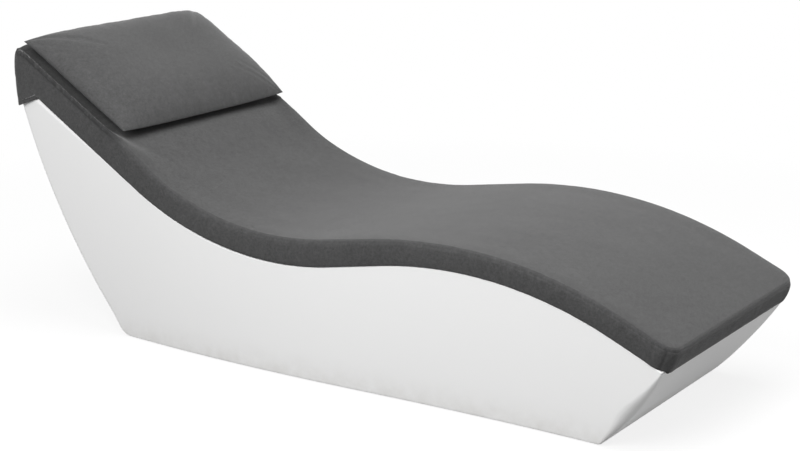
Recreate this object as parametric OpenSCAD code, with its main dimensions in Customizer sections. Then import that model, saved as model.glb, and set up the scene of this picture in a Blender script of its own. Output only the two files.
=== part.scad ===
// Spa relaxation lounger: a hollow moulded base that carries a thin mattress along an S-shaped
// deck, with a head pocket on the mattress and a loose pillow held by hook and loop tape.
// X runs from the head to the foot, Y across, Z up. The origin is on the floor, under the middle.

/* [Deck line] */
// Height of the deck's head edge over the underside of the base
head_h = 675; // [560:5:760]
// Slope of the backrest below the horizontal, in degrees
back_angle = 32; // [26:0.5:36]
// Length of the straight backrest
back_l = 475; // [400:5:540]
// Radius of the hollow between the backrest and the seat
lumbar_r = 837; // [700:1:950]
// Climb of the thigh rest, in degrees
thigh_angle = 10; // [6:0.5:12]
// Length of the straight thigh rest
thigh_l = 155; // [100:5:220]
// Radius of the crest under the knees
knee_r = 1030; // [900:10:1150]
// Slope of the foot rest below the horizontal, in degrees
foot_angle = 24; // [19:0.5:27]
// Length of the straight foot rest
foot_l = 132; // [100:1:200]

/* [Base] */
// Width of the deck
deck_w = 698; // [600:2:800]
// Inward lean of the side walls, in degrees
side_lean = 8.2; // [4:0.2:11]
// Horizontal run from the head edge to the rear corner of the underside
rear_run = 286; // [200:2:340]
// Horizontal run from the front corner of the underside to the foot edge
front_run = 164; // [110:2:200]
// Radius of the bowed rear face
rear_r = 1400; // [1000:10:2200]
// Radius of the bowed front face
front_r = 810; // [500:10:1400]
// Wall thickness of the moulding
wall = 6; // [4:0.5:9]
// Rounding of the edges between the side walls and the other faces
edge_r = 14; // [10:1:14]
// Rounding of the rear corner of the underside, seen from the side
rear_toe_r = 50; // [20:5:80]
// Rounding of the front corner of the underside, seen from the side
front_toe_r = 16; // [16:1:40]

/* [Floor pads] */
// Diameter of a rubber pad
pad_d = 40; // [30:1:56]
// Thickness of a rubber pad
pad_t = 6; // [5:0.5:9]
// Height of the underside over the floor
pad_stand = 2; // [1:0.5:4]
// Distance between the two rows of pads
pad_track = 420; // [320:10:460]
// Distance of the end pads from the corners of the underside
pad_setback = 130; // [90:5:200]
// Diameter of a screw's shank
screw_d = 6; // [5:0.5:8]
// Diameter of a screw's head
screw_head_d = 12; // [10:0.5:15]
// Diameter of a moulded-in insert
insert_d = 14; // [12:0.5:18]
// Length of a moulded-in insert
insert_l = 18; // [14:1:26]

/* [Drain plug] */
// Diameter of the plug's thread
plug_d = 20; // [16:1:26]
// Diameter of the plug's head
plug_head_d = 30; // [28:1:36]
// Length of the plug's thread
plug_l = 16; // [12:1:22]
// Diameter of the bush that the plug screws into
bush_d = 38; // [36:1:46]

/* [Mattress] */
// Reach of the mattress past each side of the deck
mat_side = 1; // [0:0.5:4]
// Thickness of the mattress at its edges
mat_t = 62; // [45:1:75]
// Extra height in the middle of the mattress
mat_crown = 4; // [0:0.5:10]
// Reach of the mattress past the foot edge of the deck
mat_reach = 4; // [0:1:12]
// Corner radius at the foot, seen from above
foot_corner_r = 34; // [20:1:60]
// Corner radius at the head, seen from above
head_corner_r = 20; // [12:1:22]
// Swell of the side band at half its height
band_swell = 2.5; // [0:0.5:5]
// Drop of the top seam below the top face
seam_drop = 4; // [3:0.5:10]
// Thickness of the cover fabric
cloth_t = 1.2; // [0.8:0.1:2]

/* [Head pocket] */
// Depth of the pocket below the head edge of the deck
pocket_deep = 72; // [50:1:100]
// Rise of the pocket's hem from the head towards the foot, in degrees
hem_rise = 8; // [0:1:20]

/* [Pillow] */
// Width of the pillow between its corner tips
pillow_w = 668; // [500:2:690]
// Length of the pillow between its corner tips
pillow_l = 386; // [300:2:420]
// Height of the pillow's crown over its seam
pillow_high = 50; // [30:1:70]
// Depth of the pillow below its seam
pillow_deep = 30; // [26:1:44]
// Inward draw of the seam between two corner tips
pillow_draw = 9; // [4:0.5:16]
// Distance of the pillow's upper seam past the head edge of the deck
pillow_past = 22; // [0:1:30]

/* [Tapes and zips] */
// Thickness of one hook or loop tape
tape_t = 1.1; // [0.8:0.1:1.6]
// Width of a hook or loop tape
tape_w = 50; // [25:5:70]
// Length of a hook or loop tape
tape_l = 220; // [120:10:260]
// Length of the mattress zip
mat_zip_l = 520; // [300:10:560]
// Length of the pillow zip
pillow_zip_l = 350; // [200:10:400]
// Width of a zip's fabric tape
zip_w = 20; // [16:1:24]
// Width of a zip's coil
coil_w = 5; // [4:0.5:7]
// Length of a zip's pull tab
pull_l = 24; // [16:1:30]

/* [Hidden] */
$fn = 48;
shell_white = [0.94, 0.94, 0.93];
cloth_grey = [0.29, 0.29, 0.30];
foam_cream = [0.90, 0.86, 0.72];
// Clearance between soft pieces and what they lie on, running clearance, and overrun of cuts
soft_gap = 0.3;
run_gap = 0.05;
over = 1;
half = 1 / 2;
deg_per_rad = 180 / PI;

// Plane curves: headings are degrees above +X, and points are [x, z]
function dir(a) = [cos(a), sin(a)];
function side_of(a) = [-sin(a), cos(a)];
function turn_step(a, b, r) = sign(b - a) * r * [sin(b) - sin(a), cos(a) - cos(b)];

// The deck line: backrest, hollow, thigh rest, crest and foot rest, each tangent to the next
lumbar_l = lumbar_r * (back_angle + thigh_angle) / deg_per_rad;
knee_l = knee_r * (thigh_angle + foot_angle) / deg_per_rad;
lumbar_s = back_l;
thigh_s = lumbar_s + lumbar_l;
knee_s = thigh_s + thigh_l;
foot_s = knee_s + knee_l;
deck_l = foot_s + foot_l;
lumbar_at = back_l * dir(-back_angle);
thigh_at = lumbar_at + turn_step(-back_angle, thigh_angle, lumbar_r);
knee_at = thigh_at + thigh_l * dir(thigh_angle);
foot_at = knee_at + turn_step(thigh_angle, -foot_angle, knee_r);
deck_run = (foot_at + foot_l * dir(-foot_angle))[0];

function heading(s) =
    s < lumbar_s ? -back_angle :
    s < thigh_s ? -back_angle + (s - lumbar_s) / lumbar_r * deg_per_rad :
    s < knee_s ? thigh_angle :
    s < foot_s ? thigh_angle - (s - knee_s) / knee_r * deg_per_rad :
    -foot_angle;
function along(s) =
    s < lumbar_s ? s * dir(-back_angle) :
    s < thigh_s ? lumbar_at + turn_step(-back_angle, heading(s), lumbar_r) :
    s < knee_s ? thigh_at + (s - thigh_s) * dir(thigh_angle) :
    s < foot_s ? knee_at + turn_step(thigh_angle, heading(s), knee_r) :
    foot_at + (s - foot_s) * dir(-foot_angle);

// The whole part is centred over the origin, from the pocket's back to the mattress's foot
pocket_gap = 1.5;
head_out = pocket_gap + cloth_t;
foot_out = deck_run + mat_reach * cos(foot_angle) + (mat_t - seam_drop) * sin(foot_angle);
head_x = -(foot_out - head_out) * half;
head_z = head_h + pad_stand;
head_at = [head_x, head_z];
function deck(s, n = 0) = head_at + along(s) + n * side_of(heading(s));

// Corners of the base, seen from the side
foot_edge = deck(deck_l);
rear_corner = [head_x + rear_run, pad_stand];
front_corner = [foot_edge[0] - front_run, pad_stand];
function bow_centre(p, q, r) =
    let (c = q - p, l = norm(c))
    (p + q) * half + sqrt(r * r - l * l * half * half) * [-c[1], c[0]] / l;
rear_centre = bow_centre(head_at, rear_corner, rear_r);
front_centre = bow_centre(front_corner, foot_edge, front_r);
function angle_of(c, p) = atan2(p[1] - c[1], p[0] - c[0]);

// The side outline, moved inwards by d: the deck line meets the rear face and the front face
deck_steps = 90;
function meet(p, u, c, r) = let (q = p - c, b = q * u) -b - sqrt(b * b - q * q + r * r);
function head_start(d) = meet(deck(0, -d), dir(-back_angle), rear_centre, rear_r - d);
function foot_stop(d) =
    deck_l - meet(deck(deck_l, -d), -dir(-foot_angle), front_centre, front_r - d);
function deck_rows(d) =
    let (a = head_start(d), b = foot_stop(d))
    [for (k = [0:deck_steps]) deck(a + (b - a) * k / deck_steps, -d)];
outer_rows = deck_rows(0);

// The lower outline runs down the rear face, round the toe, along the floor, round the front toe
// and up the front face
rear_steps = 8;
toe_steps = 3;
base_steps = 22;
front_steps = 6;
end_share = 0.015;
full_turn = 360;
straight_down = 270;
function toe_centre(c, r, toe_r, e) =
    let (z = pad_stand + toe_r) [c[0] + e * sqrt(pow(r - toe_r, 2) - pow(c[1] - z, 2)), z];
function arc_points(c, r, a, b, steps, from_share, to_share) =
    [for (k = [0:steps]) c + r * dir(a + (b - a) * (from_share + (to_share - from_share) * k / steps))];
function low_points(d) =
    let (
        rear_toe = toe_centre(rear_centre, rear_r, rear_toe_r, -1),
        front_toe = toe_centre(front_centre, front_r, front_toe_r, 1),
        rear_top = angle_of(rear_centre, deck(head_start(d), -d)) + full_turn,
        rear_low = angle_of(rear_centre, rear_toe) + full_turn,
        front_low = angle_of(front_centre, front_toe) + full_turn,
        front_top = angle_of(front_centre, deck(foot_stop(d), -d)) + full_turn,
        first = rear_toe - [0, rear_toe_r - d],
        last = front_toe - [0, front_toe_r - d]
    )
    concat(
        arc_points(rear_centre, rear_r - d, rear_top, rear_low, rear_steps, end_share, 1),
        arc_points(rear_toe, rear_toe_r - d, rear_low, straight_down, toe_steps - 1, 1 / toe_steps, 1),
        [for (k = [1:base_steps - 1]) first + (last - first) * k / base_steps],
        arc_points(front_toe, front_toe_r - d, straight_down, front_low, toe_steps - 1,
            0, 1 - 1 / toe_steps),
        arc_points(front_centre, front_r - d, front_low, front_top, front_steps,
            0, 1 - end_share)
    );

// The base is a row of closed rings, one at each point of its lower outline. A ring crosses the
// deck, rounds the edge, runs down the leaning side and comes back along the lower outline
lean_rate = tan(side_lean);
bend_shares = [0, 1 - sqrt(half), 1];
function side_y(x, z, inset) = deck_w * half - inset - lean_rate * (lookup(x, outer_rows) - z);
function base_rings(inset, r) =
    let (
        tops = [for (w = bend_shares) deck_rows(inset + w * r)],
        lows = [for (w = bend_shares) low_points(inset + w * r)],
        last = len(bend_shares) - 1
    )
    [for (k = [0:len(lows[0]) - 1])
        let (
            up = [for (m = [0:last])
                let (x = lows[m][k][0], z = lookup(x, tops[m]))
                [x, side_y(x, z, inset) - bend_shares[last - m] * r, z]],
            down = [for (m = [last:-1:0])
                let (p = lows[m][k])
                [p[0], side_y(p[0], p[1], inset) - bend_shares[last - m] * r, p[1]]],
            right = concat(up, [(up[last] + down[0]) * half], down)
        )
        concat(
            [[right[0][0], 0, right[0][2]]],
            right,
            [[down[last][0], 0, down[last][2]]],
            [for (i = [len(right) - 1:-1:0]) [right[i][0], -right[i][1], right[i][2]]]
        )];

// A closed skin over a row of rings. Each end is closed by strips from the top to the bottom
module skin(rings) {
    n = len(rings[0]);
    m = n * half;
    last = (len(rings) - 1) * n;
    function turned(f, keep) = keep ? f : [f[0], f[2], f[1]];
    function end_faces(o, e) =
        [for (i = [0:m * half - 1]) for (side = [1, -1]) each
            let (v = [for (k = [i, i + 1, m - i - 1, m - i]) o + (side * k + n) % n])
            concat([turned([v[0], v[1], v[3]], side * e > 0)],
                v[1] == v[2] ? [] : [turned([v[1], v[2], v[3]], side * e > 0)])];
    polyhedron(
        points = [for (r = rings) each r],
        faces = concat(
            end_faces(0, -1),
            end_faces(last, 1),
            [for (i = [0:len(rings) - 2]) for (k = [0:n - 1]) each
                let (a = i * n + k, b = i * n + (k + 1) % n)
                [[a, b, b + n], [a, b + n, a + n]]]
        )
    );
}

// A closed slab between two sheets of points, a above b
module slab(a, b) {
    rows = len(a);
    cols = len(a[0]);
    m = rows * cols;
    function at(i, j) = i * cols + j;
    rim = concat(
        [for (j = [0:cols - 1]) at(0, j)],
        [for (i = [1:rows - 1]) at(i, cols - 1)],
        [for (j = [cols - 2:-1:0]) at(rows - 1, j)],
        [for (i = [rows - 2:-1:1]) at(i, 0)]
    );
    polyhedron(
        points = concat([for (r = a) each r], [for (r = b) each r]),
        faces = concat(
            [for (i = [0:rows - 2]) for (j = [0:cols - 2]) each
                [[at(i, j), at(i + 1, j + 1), at(i + 1, j)],
                    [at(i, j), at(i, j + 1), at(i + 1, j + 1)]]],
            [for (i = [0:rows - 2]) for (j = [0:cols - 2]) each
                [[m + at(i, j), m + at(i + 1, j), m + at(i + 1, j + 1)],
                    [m + at(i, j), m + at(i + 1, j + 1), m + at(i, j + 1)]]],
            [for (k = [0:len(rim) - 1]) each
                let (p = rim[k], q = rim[(k + 1) % len(rim)])
                [[p, m + p, m + q], [p, m + q, q]]]
        )
    );
}

// A closed band between two loops of columns, a outside b
module loop_band(a, b) {
    n = len(a);
    rows = len(a[0]);
    m = n * rows;
    function at(k, r) = (k % n) * rows + r;
    polyhedron(
        points = concat([for (c = a) each c], [for (c = b) each c]),
        faces = concat(
            [for (k = [0:n - 1]) for (r = [0:rows - 2]) each
                [[at(k, r), at(k + 1, r), at(k + 1, r + 1)],
                    [at(k, r), at(k + 1, r + 1), at(k, r + 1)]]],
            [for (k = [0:n - 1]) for (r = [0:rows - 2]) each
                [[m + at(k, r), m + at(k + 1, r + 1), m + at(k + 1, r)],
                    [m + at(k, r), m + at(k, r + 1), m + at(k + 1, r + 1)]]],
            [for (k = [0:n - 1]) for (e = [0, rows - 1]) each
                let (p = at(k, e), q = at(k + 1, e))
                (e == 0
                    ? [[p, m + p, m + q], [p, m + q, q]]
                    : [[p, m + q, m + p], [p, q, m + q]])]
        )
    );
}

// Base
pad_recess = pad_t - pad_stand;
boss_d = insert_d + 4 * wall;
boss_h = pad_recess + insert_l + wall;
pad_x0 = rear_corner[0] + pad_setback;
pad_x1 = front_corner[0] - pad_setback;
pad_places = [for (x = [pad_x0, (pad_x0 + pad_x1) * half, pad_x1]) for (e = [-1, 1])
    [x, e * pad_track * half, 0]];
vent_x = pad_x0;
bush_lip = 3;
bush_h = plug_l + bush_lip;
vent_boss_d = bush_d + 2 * wall;
vent_boss_h = bush_h + wall;

module base_body(inset) {
    skin(base_rings(inset, edge_r - inset));
}

module at_pads() {
    for (p = pad_places) translate(p) children();
}

module base_shell() {
    color(shell_white)
    difference() {
        base_body(0);
        difference() {
            base_body(wall);
            at_pads() translate([0, 0, pad_stand]) cylinder(d = boss_d, h = boss_h);
            translate([vent_x, 0, pad_stand]) cylinder(d = vent_boss_d, h = vent_boss_h);
        }
        at_pads() {
            translate([0, 0, pad_stand - over])
                cylinder(d = pad_d + 2 * soft_gap, h = pad_recess + over);
            translate([0, 0, pad_stand - over])
                cylinder(d = insert_d, h = pad_recess + insert_l + over);
        }
        translate([vent_x, 0, pad_stand - over]) cylinder(d = bush_d, h = bush_h + over);
    }
}

// Floor pads, each held by a screw whose head is sunk into the pad's underside
screw_head_h = 3;
screw_sink = 1;
screw_end_gap = 3;
screw_grip = insert_l - screw_end_gap;
pad_top = pad_stand + pad_recess;

module pad_inserts() {
    color("goldenrod")
    at_pads() translate([0, 0, pad_top]) difference() {
        cylinder(d = insert_d, h = insert_l);
        translate([0, 0, -over]) cylinder(d = screw_d + 2 * run_gap, h = screw_grip + 2 * over);
    }
}

module glide_pads() {
    color([0.13, 0.13, 0.13])
    at_pads() difference() {
        cylinder(d = pad_d, h = pad_top);
        translate([0, 0, -over]) cylinder(d = screw_d + 2 * run_gap, h = pad_top + 2 * over);
        translate([0, 0, -over])
            cylinder(d = screw_head_d + 2 * soft_gap, h = over + screw_sink + screw_head_h);
    }
}

module pad_screws() {
    color("silver")
    at_pads() difference() {
        union() {
            translate([0, 0, screw_sink]) cylinder(d = screw_head_d, h = screw_head_h);
            translate([0, 0, screw_sink]) cylinder(d = screw_d, h = pad_top + screw_grip - screw_sink);
        }
        cylinder(d = screw_d * half, h = screw_sink + screw_head_h * half, $fn = 6);
    }
}

// Drain plug, in a bush that is moulded into the underside
seal_d = 2;
seat_h = pad_stand + bush_lip + seal_d;

module vent_bush() {
    color([0.85, 0.85, 0.84])
    translate([vent_x, 0, 0]) difference() {
        translate([0, 0, pad_stand]) cylinder(d = bush_d, h = bush_h);
        translate([0, 0, pad_stand - over])
            cylinder(d = plug_head_d + 4 * soft_gap, h = seat_h - pad_stand + over);
        cylinder(d = plug_d, h = pad_stand + bush_h + over);
    }
}

module vent_plug() {
    color([0.80, 0.80, 0.79])
    translate([vent_x, 0, 0]) difference() {
        union() {
            translate([0, 0, pad_stand + soft_gap])
                cylinder(d = plug_head_d, h = bush_lip - soft_gap);
            translate([0, 0, pad_stand + soft_gap])
                cylinder(d = plug_d - 2 * run_gap, h = plug_l);
        }
        translate([-plug_d * half, -seal_d * half, 0])
            cube([plug_d, seal_d, pad_stand + bush_lip * half]);
    }
}

module vent_seal() {
    color([0.10, 0.10, 0.10])
    translate([vent_x, 0, pad_stand + bush_lip + seal_d * half - run_gap])
        rotate_extrude()
            translate([plug_d * half + seal_d, 0]) circle(d = seal_d - 2 * run_gap);
}

// Mattress surfaces. A place is given by its distance s along the deck line, its distance y from
// the middle and its height n over the deck; near the head the pad is cut plumb
mat_gap = 2 * tape_t + soft_gap;
mat_w = deck_w + 2 * mat_side;
mat_s0 = cloth_t;
mat_s1 = deck_l + mat_reach;
mat_l = mat_s1 - mat_s0;
plumb_l = 4 * mat_t;
function place(s, y, n) =
    let (
        plumb = max(0, 1 - max(0, s - mat_s0) / plumb_l),
        p = deck(s - n * tan(back_angle) * plumb, n)
    )
    [p[0], y, p[1]];

corner_steps = 4;
long_steps = 27;
across_shares = [-1, -0.96, -0.82, -0.45, 0, 0.45, 0.82, 0.96, 1];
last_row = long_steps + 2 * corner_steps;
last_col = len(across_shares) - 1;
// Distance of station i from the head end
function station(i) =
    i <= corner_steps ? head_corner_r * (1 - cos(90 * i / corner_steps)) :
    i >= last_row - corner_steps
        ? mat_l - foot_corner_r * (1 - cos(90 * (last_row - i) / corner_steps)) :
    head_corner_r + (mat_l - head_corner_r - foot_corner_r) * (i - corner_steps) / long_steps;
function corner_cut(d, r) = d < r ? r - sqrt(max(0, r * r - (r - d) * (r - d))) : 0;
function mat_half_w(d) =
    mat_w * half - corner_cut(d, head_corner_r) - corner_cut(mat_l - d, foot_corner_r);
// Share of the full height at a distance d from the head end: it falls off at both ends
function end_share_at(d) =
    let (e = min(1, min(d / head_corner_r, (mat_l - d) / foot_corner_r))) e * (2 - e);
// The faces stay level across, and fall off to the seams close to the edges
edge_power = 14;
function top_n(d, share) =
    mat_t - seam_drop
        + (seam_drop * (1 - pow(abs(share), edge_power)) + mat_crown * cos(90 * share))
            * end_share_at(d);
function low_n(d, share) =
    mat_gap + seam_drop * half * (1 - (1 - pow(abs(share), edge_power)) * end_share_at(d));
// A point of the mattress: the inset moves it in from the side walls
function mat_point(i, j, n, inset) =
    let (d = station(i), s = mat_s0 + inset + d * (mat_l - 2 * inset) / mat_l)
    place(s, across_shares[j] * (mat_half_w(d) - inset), n);
function mat_top(inset, lower) =
    [for (i = [0:last_row]) [for (j = [0:last_col])
        mat_point(i, j, top_n(station(i), across_shares[j]) - lower, inset)]];
function mat_low(inset, raise) =
    [for (i = [0:last_row]) [for (j = [0:last_col])
        mat_point(i, j, low_n(station(i), across_shares[j]) + raise, inset)]];

module mattress_foam() {
    color(foam_cream)
    slab(mat_top(cloth_t + soft_gap, cloth_t + soft_gap),
        mat_low(cloth_t + soft_gap, cloth_t + soft_gap));
}

module mattress_top_panel() {
    color(cloth_grey)
    slab(mat_top(0, 0), mat_top(0, cloth_t));
}

module mattress_bottom_panel() {
    color(cloth_grey)
    slab(mat_low(0, cloth_t), mat_low(0, 0));
}

// The side band runs round the mattress between the two panels, and swells at half its height
band_rows = 4;
rim_places = concat(
    [for (j = [0:last_col]) [0, j]],
    [for (i = [1:last_row]) [i, last_col]],
    [for (j = [last_col - 1:-1:0]) [last_row, j]],
    [for (i = [last_row - 1:-1:1]) [i, 0]]
);
function band_columns(inset) =
    [for (p = rim_places)
        let (
            d = station(p[0]),
            share = across_shares[p[1]],
            high = top_n(d, share) - cloth_t,
            low = low_n(d, share) + cloth_t
        )
        [for (r = [0:band_rows])
            let (w = r / band_rows)
            mat_point(p[0], p[1], low + (high - low) * w, inset - band_swell * sin(180 * w))]];

module mattress_side_band() {
    color(cloth_grey)
    loop_band(band_columns(0), band_columns(cloth_t));
}

// Head pocket: a band of cloth round the head end of the deck, open below and towards the foot
pocket_cols = 10;
pocket_rows = 3;
pocket_corner_r = head_corner_r;
hem_z = head_z - pocket_deep;
function rear_x(z) =
    rear_centre[0] - sqrt(pow(rear_r, 2) - pow(rear_centre[1] - z, 2));
// Where the hem meets the deck line, as a run from the head edge
pocket_run = pocket_deep / (tan(back_angle) + tan(hem_rise));
// Half of the pocket's plan: along one side, round the corner and to the middle of the back
function pocket_half(inset) =
    let (r = pocket_corner_r - inset, y = mat_w * half - inset)
    concat(
        [for (k = [0:pocket_cols])
            [pocket_run + (pocket_corner_r - pocket_run) * k / pocket_cols, y]],
        [for (k = [1:corner_steps])
            [inset + r * (1 - sin(90 * k / corner_steps)),
                y - r * (1 - cos(90 * k / corner_steps))]],
        [[inset, 0]]
    );
function pocket_outline(inset) =
    let (one = pocket_half(inset), n = len(one))
    concat(
        [for (p = one) [p[0], -p[1]]],
        [for (k = [n - 2:-1:0]) one[k]]
    );
function pocket_columns(inset) =
    [for (p = pocket_outline(inset))
        let (
            run = max(0, p[0]),
            high = head_z - run * tan(back_angle) + mat_gap - soft_gap,
            low = min(high - over, hem_z + run * tan(hem_rise))
        )
        [for (r = [0:pocket_rows])
            let (
                z = low + (high - low) * r / pocket_rows,
                back = rear_x(min(z, head_z)) - head_out,
                ease = max(0, 1 - run / pocket_corner_r)
            )
            [head_x - head_out + run + (back - head_x + head_out) * ease, p[1], z]]];

module head_pocket() {
    color(cloth_grey)
    slab(pocket_columns(cloth_t), pocket_columns(0));
}

// Hook and loop tapes, in pairs that face each other
tape_pitch = tape_l + tape_w;
foot_tape_s = foot_s + foot_l * half;
module on_deck(s, n) {
    p = deck(s, n);
    translate([p[0], 0, p[1]]) rotate([0, -heading(s), 0]) children();
}
module tape_pair(gap_w) {
    for (e = [-1, 1]) translate([-tape_w * half, e * gap_w * half - tape_l * half, 0])
        cube([tape_w, tape_l, tape_t]);
}

module deck_hook_tapes() {
    color([0.16, 0.16, 0.17])
    on_deck(foot_tape_s, 0) tape_pair(tape_pitch);
}

module mattress_loop_tapes() {
    color([0.20, 0.20, 0.21])
    on_deck(foot_tape_s, tape_t + soft_gap) tape_pair(tape_pitch);
}

pillow_floor = mat_t + mat_crown + 2 * tape_t + 2 * soft_gap;
pillow_tape_s = pillow_l * half - pillow_past;
module pillow_landing_tapes() {
    color([0.20, 0.20, 0.21])
    on_deck(pillow_tape_s, mat_t + mat_crown) tape_pair(tape_pitch);
}

module pillow_hook_tapes() {
    color([0.16, 0.16, 0.17])
    on_deck(pillow_tape_s, mat_t + mat_crown + tape_t + soft_gap) tape_pair(tape_pitch);
}

// Pillow: two panels that meet in a seam, full in the middle and drawn in between the corner tips
pillow_seam_n = pillow_floor + pillow_deep;
pillow_mid_s = pillow_l * half - pillow_past;
pillow_cols = 14;
pillow_rows = 10;
// Distance of the filling from the seam, and the powers that shape the pillow's cross-sections
// and the bow of its seam
fill_rim = 6;
pillow_powers = [4, 6];
full_power = 0.42;
draw_power = 4;
function tip_share(k, steps) = sin(90 * (2 * k / steps - 1));
function fullness(u, v) =
    pow(1 - pow(abs(u), pillow_powers[0]), full_power)
        * pow(1 - pow(abs(v), pillow_powers[1]), full_power);
function pillow_point(i, j, rise, inset) =
    let (
        u = tip_share(i, pillow_rows),
        v = tip_share(j, pillow_cols),
        s = u * (pillow_l * half - inset - pillow_draw * (1 - pow(abs(v), draw_power))),
        y = v * (pillow_w * half - inset - pillow_draw * (1 - pow(abs(u), draw_power))),
        p = deck(0, 0) + (pillow_mid_s + s) * dir(-back_angle)
            + (pillow_seam_n + rise * fullness(u, v)) * side_of(-back_angle)
    )
    [p[0], y, p[1]];
function pillow_sheet(rise, inset, shift) =
    [for (i = [0:pillow_rows]) [for (j = [0:pillow_cols])
        let (p = pillow_point(i, j, rise, inset))
        p + shift * [sin(back_angle), 0, cos(back_angle)]]];

module pillow_top_panel() {
    color(cloth_grey)
    slab(pillow_sheet(pillow_high - cloth_t, 0, cloth_t), pillow_sheet(pillow_high - cloth_t, 0, 0));
}

module pillow_bottom_panel() {
    color(cloth_grey)
    slab(pillow_sheet(-(pillow_deep - cloth_t), 0, 0),
        pillow_sheet(-(pillow_deep - cloth_t), 0, -cloth_t));
}

module pillow_fill() {
    color([0.95, 0.95, 0.95])
    slab(pillow_sheet(pillow_high - 2 * cloth_t - soft_gap, fill_rim, cloth_t),
        pillow_sheet(-(pillow_deep - 2 * cloth_t - soft_gap), fill_rim, -cloth_t));
}

// Zips. In a zip's own frame Y runs along it, Z points out of the cloth and X lies in the cloth
zip_t = 0.8;
coil_h = 1.6;
slider_l = 12;
slider_w = 9;
slider_t = 1.2;
post_w = 1.4;
bar_d = 1.6;
pull_w = 6;
pull_t = 1.2;
bar_z = coil_h + zip_t + soft_gap + slider_t + bar_d;
slide_top = coil_h + zip_t + soft_gap + slider_t;

module zip_tape(l) {
    translate([-zip_w * half, -l * half, soft_gap]) cube([zip_w, l, zip_t]);
}
module zip_coil(l) {
    translate([-coil_w * half, -l * half, soft_gap + zip_t]) cube([coil_w, l, coil_h]);
}
module zip_slider() {
    difference() {
        translate([-slider_w * half, -slider_l * half, 2 * soft_gap + zip_t])
            cube([slider_w, slider_l, slide_top - 2 * soft_gap - zip_t + soft_gap]);
        translate([-coil_w * half - soft_gap, -slider_l * half - over, 0])
            cube([coil_w + 2 * soft_gap, slider_l + 2 * over, zip_t + coil_h + 2 * soft_gap]);
    }
    for (e = [-1, 1])
        translate([e * (pull_w * half + soft_gap + post_w * half) - post_w * half,
            -bar_d, slide_top])
            cube([post_w, 2 * bar_d, 2 * bar_d + soft_gap]);
    translate([-pull_w * half - soft_gap - post_w * half, 0, bar_z + soft_gap])
        rotate([0, 90, 0]) cylinder(d = bar_d, h = pull_w + 2 * soft_gap + post_w);
}
module zip_pull() {
    translate([0, 0, bar_z + soft_gap]) difference() {
        union() {
            rotate([0, 90, 0]) cylinder(d = 2 * bar_d - soft_gap, h = pull_w, center = true);
            translate([-pull_w * half, 0, -pull_t * half]) cube([pull_w, pull_l, pull_t]);
        }
        rotate([0, 90, 0])
            cylinder(d = bar_d + 2 * run_gap, h = pull_w + 2 * over, center = true);
    }
}

// The mattress zip lies across the plumb head end, and the pillow zip under its upper seam
mat_zip_n = (mat_t + mat_gap) * half;
module at_mat_zip() {
    p = place(mat_s0, 0, mat_zip_n);
    translate([p[0] - band_swell, 0, p[2]]) rotate([0, -90, 0]) children();
}
module mattress_zip_tape() { color([0.12, 0.12, 0.12]) at_mat_zip() zip_tape(mat_zip_l); }
module mattress_zip_coil() { color([0.08, 0.08, 0.08]) at_mat_zip() zip_coil(mat_zip_l); }
mat_slider_y = (mat_zip_l - 2 * slider_l) * half;
module mattress_zip_slider() {
    color([0.25, 0.25, 0.26])
    at_mat_zip() translate([0, mat_slider_y - pull_l, 0]) zip_slider();
}
module mattress_zip_pull() {
    color([0.25, 0.25, 0.26])
    at_mat_zip() translate([0, mat_slider_y - pull_l, 0]) zip_pull();
}

// The pillow zip lies on the slope of the underside, just below the upper seam
pillow_zip_u_share = -0.955;
pillow_zip_lean = 39;
function pillow_low_at(u) =
    [u * (pillow_l * half - pillow_draw),
        pillow_seam_n - (pillow_deep - cloth_t) * fullness(u, 0) - cloth_t];
module at_pillow_zip() {
    q = pillow_low_at(pillow_zip_u_share);
    p = deck(pillow_mid_s + q[0], q[1]);
    translate([p[0], 0, p[1]]) rotate([0, back_angle + 180 + pillow_zip_lean, 0]) children();
}
module pillow_zip_tape() { color([0.12, 0.12, 0.12]) at_pillow_zip() zip_tape(pillow_zip_l); }
module pillow_zip_coil() { color([0.08, 0.08, 0.08]) at_pillow_zip() zip_coil(pillow_zip_l); }
pillow_slider_y = (pillow_zip_l - 2 * slider_l) * half;
module pillow_zip_slider() {
    color([0.25, 0.25, 0.26])
    at_pillow_zip() translate([0, pillow_slider_y - pull_l, 0]) zip_slider();
}
module pillow_zip_pull() {
    color([0.25, 0.25, 0.26])
    at_pillow_zip() translate([0, pillow_slider_y - pull_l, 0]) zip_pull();
}

base_shell();
pad_inserts();
glide_pads();
pad_screws();
vent_bush();
vent_plug();
vent_seal();
deck_hook_tapes();
mattress_foam();
mattress_top_panel();
mattress_side_band();
mattress_bottom_panel();
mattress_loop_tapes();
pillow_landing_tapes();
head_pocket();
mattress_zip_tape();
mattress_zip_coil();
mattress_zip_slider();
mattress_zip_pull();
pillow_fill();
pillow_top_panel();
pillow_bottom_panel();
pillow_hook_tapes();
pillow_zip_tape();
pillow_zip_coil();
pillow_zip_slider();
pillow_zip_pull();
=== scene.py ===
import math

import bmesh
import bpy
import numpy as np
from mathutils import Matrix, Vector, noise


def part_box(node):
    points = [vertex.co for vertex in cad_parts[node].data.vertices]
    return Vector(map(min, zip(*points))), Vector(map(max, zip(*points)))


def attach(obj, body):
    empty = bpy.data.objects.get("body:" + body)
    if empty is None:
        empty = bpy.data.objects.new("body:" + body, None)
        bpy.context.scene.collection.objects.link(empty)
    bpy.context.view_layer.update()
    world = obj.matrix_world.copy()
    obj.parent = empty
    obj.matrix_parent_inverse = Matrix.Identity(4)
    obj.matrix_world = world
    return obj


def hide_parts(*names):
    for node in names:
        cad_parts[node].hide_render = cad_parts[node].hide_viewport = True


bl_info = {
    "name": "Spa lounger",
    "version": (1, 0, 0),
    "blender": (4, 5, 0),
    "location": "View3D > Sidebar > Lounger",
    "description": "Dresses the packed spa lounger: moulded base, sewn mattress, head pocket and pillow",
    "category": "Object",
}

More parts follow.
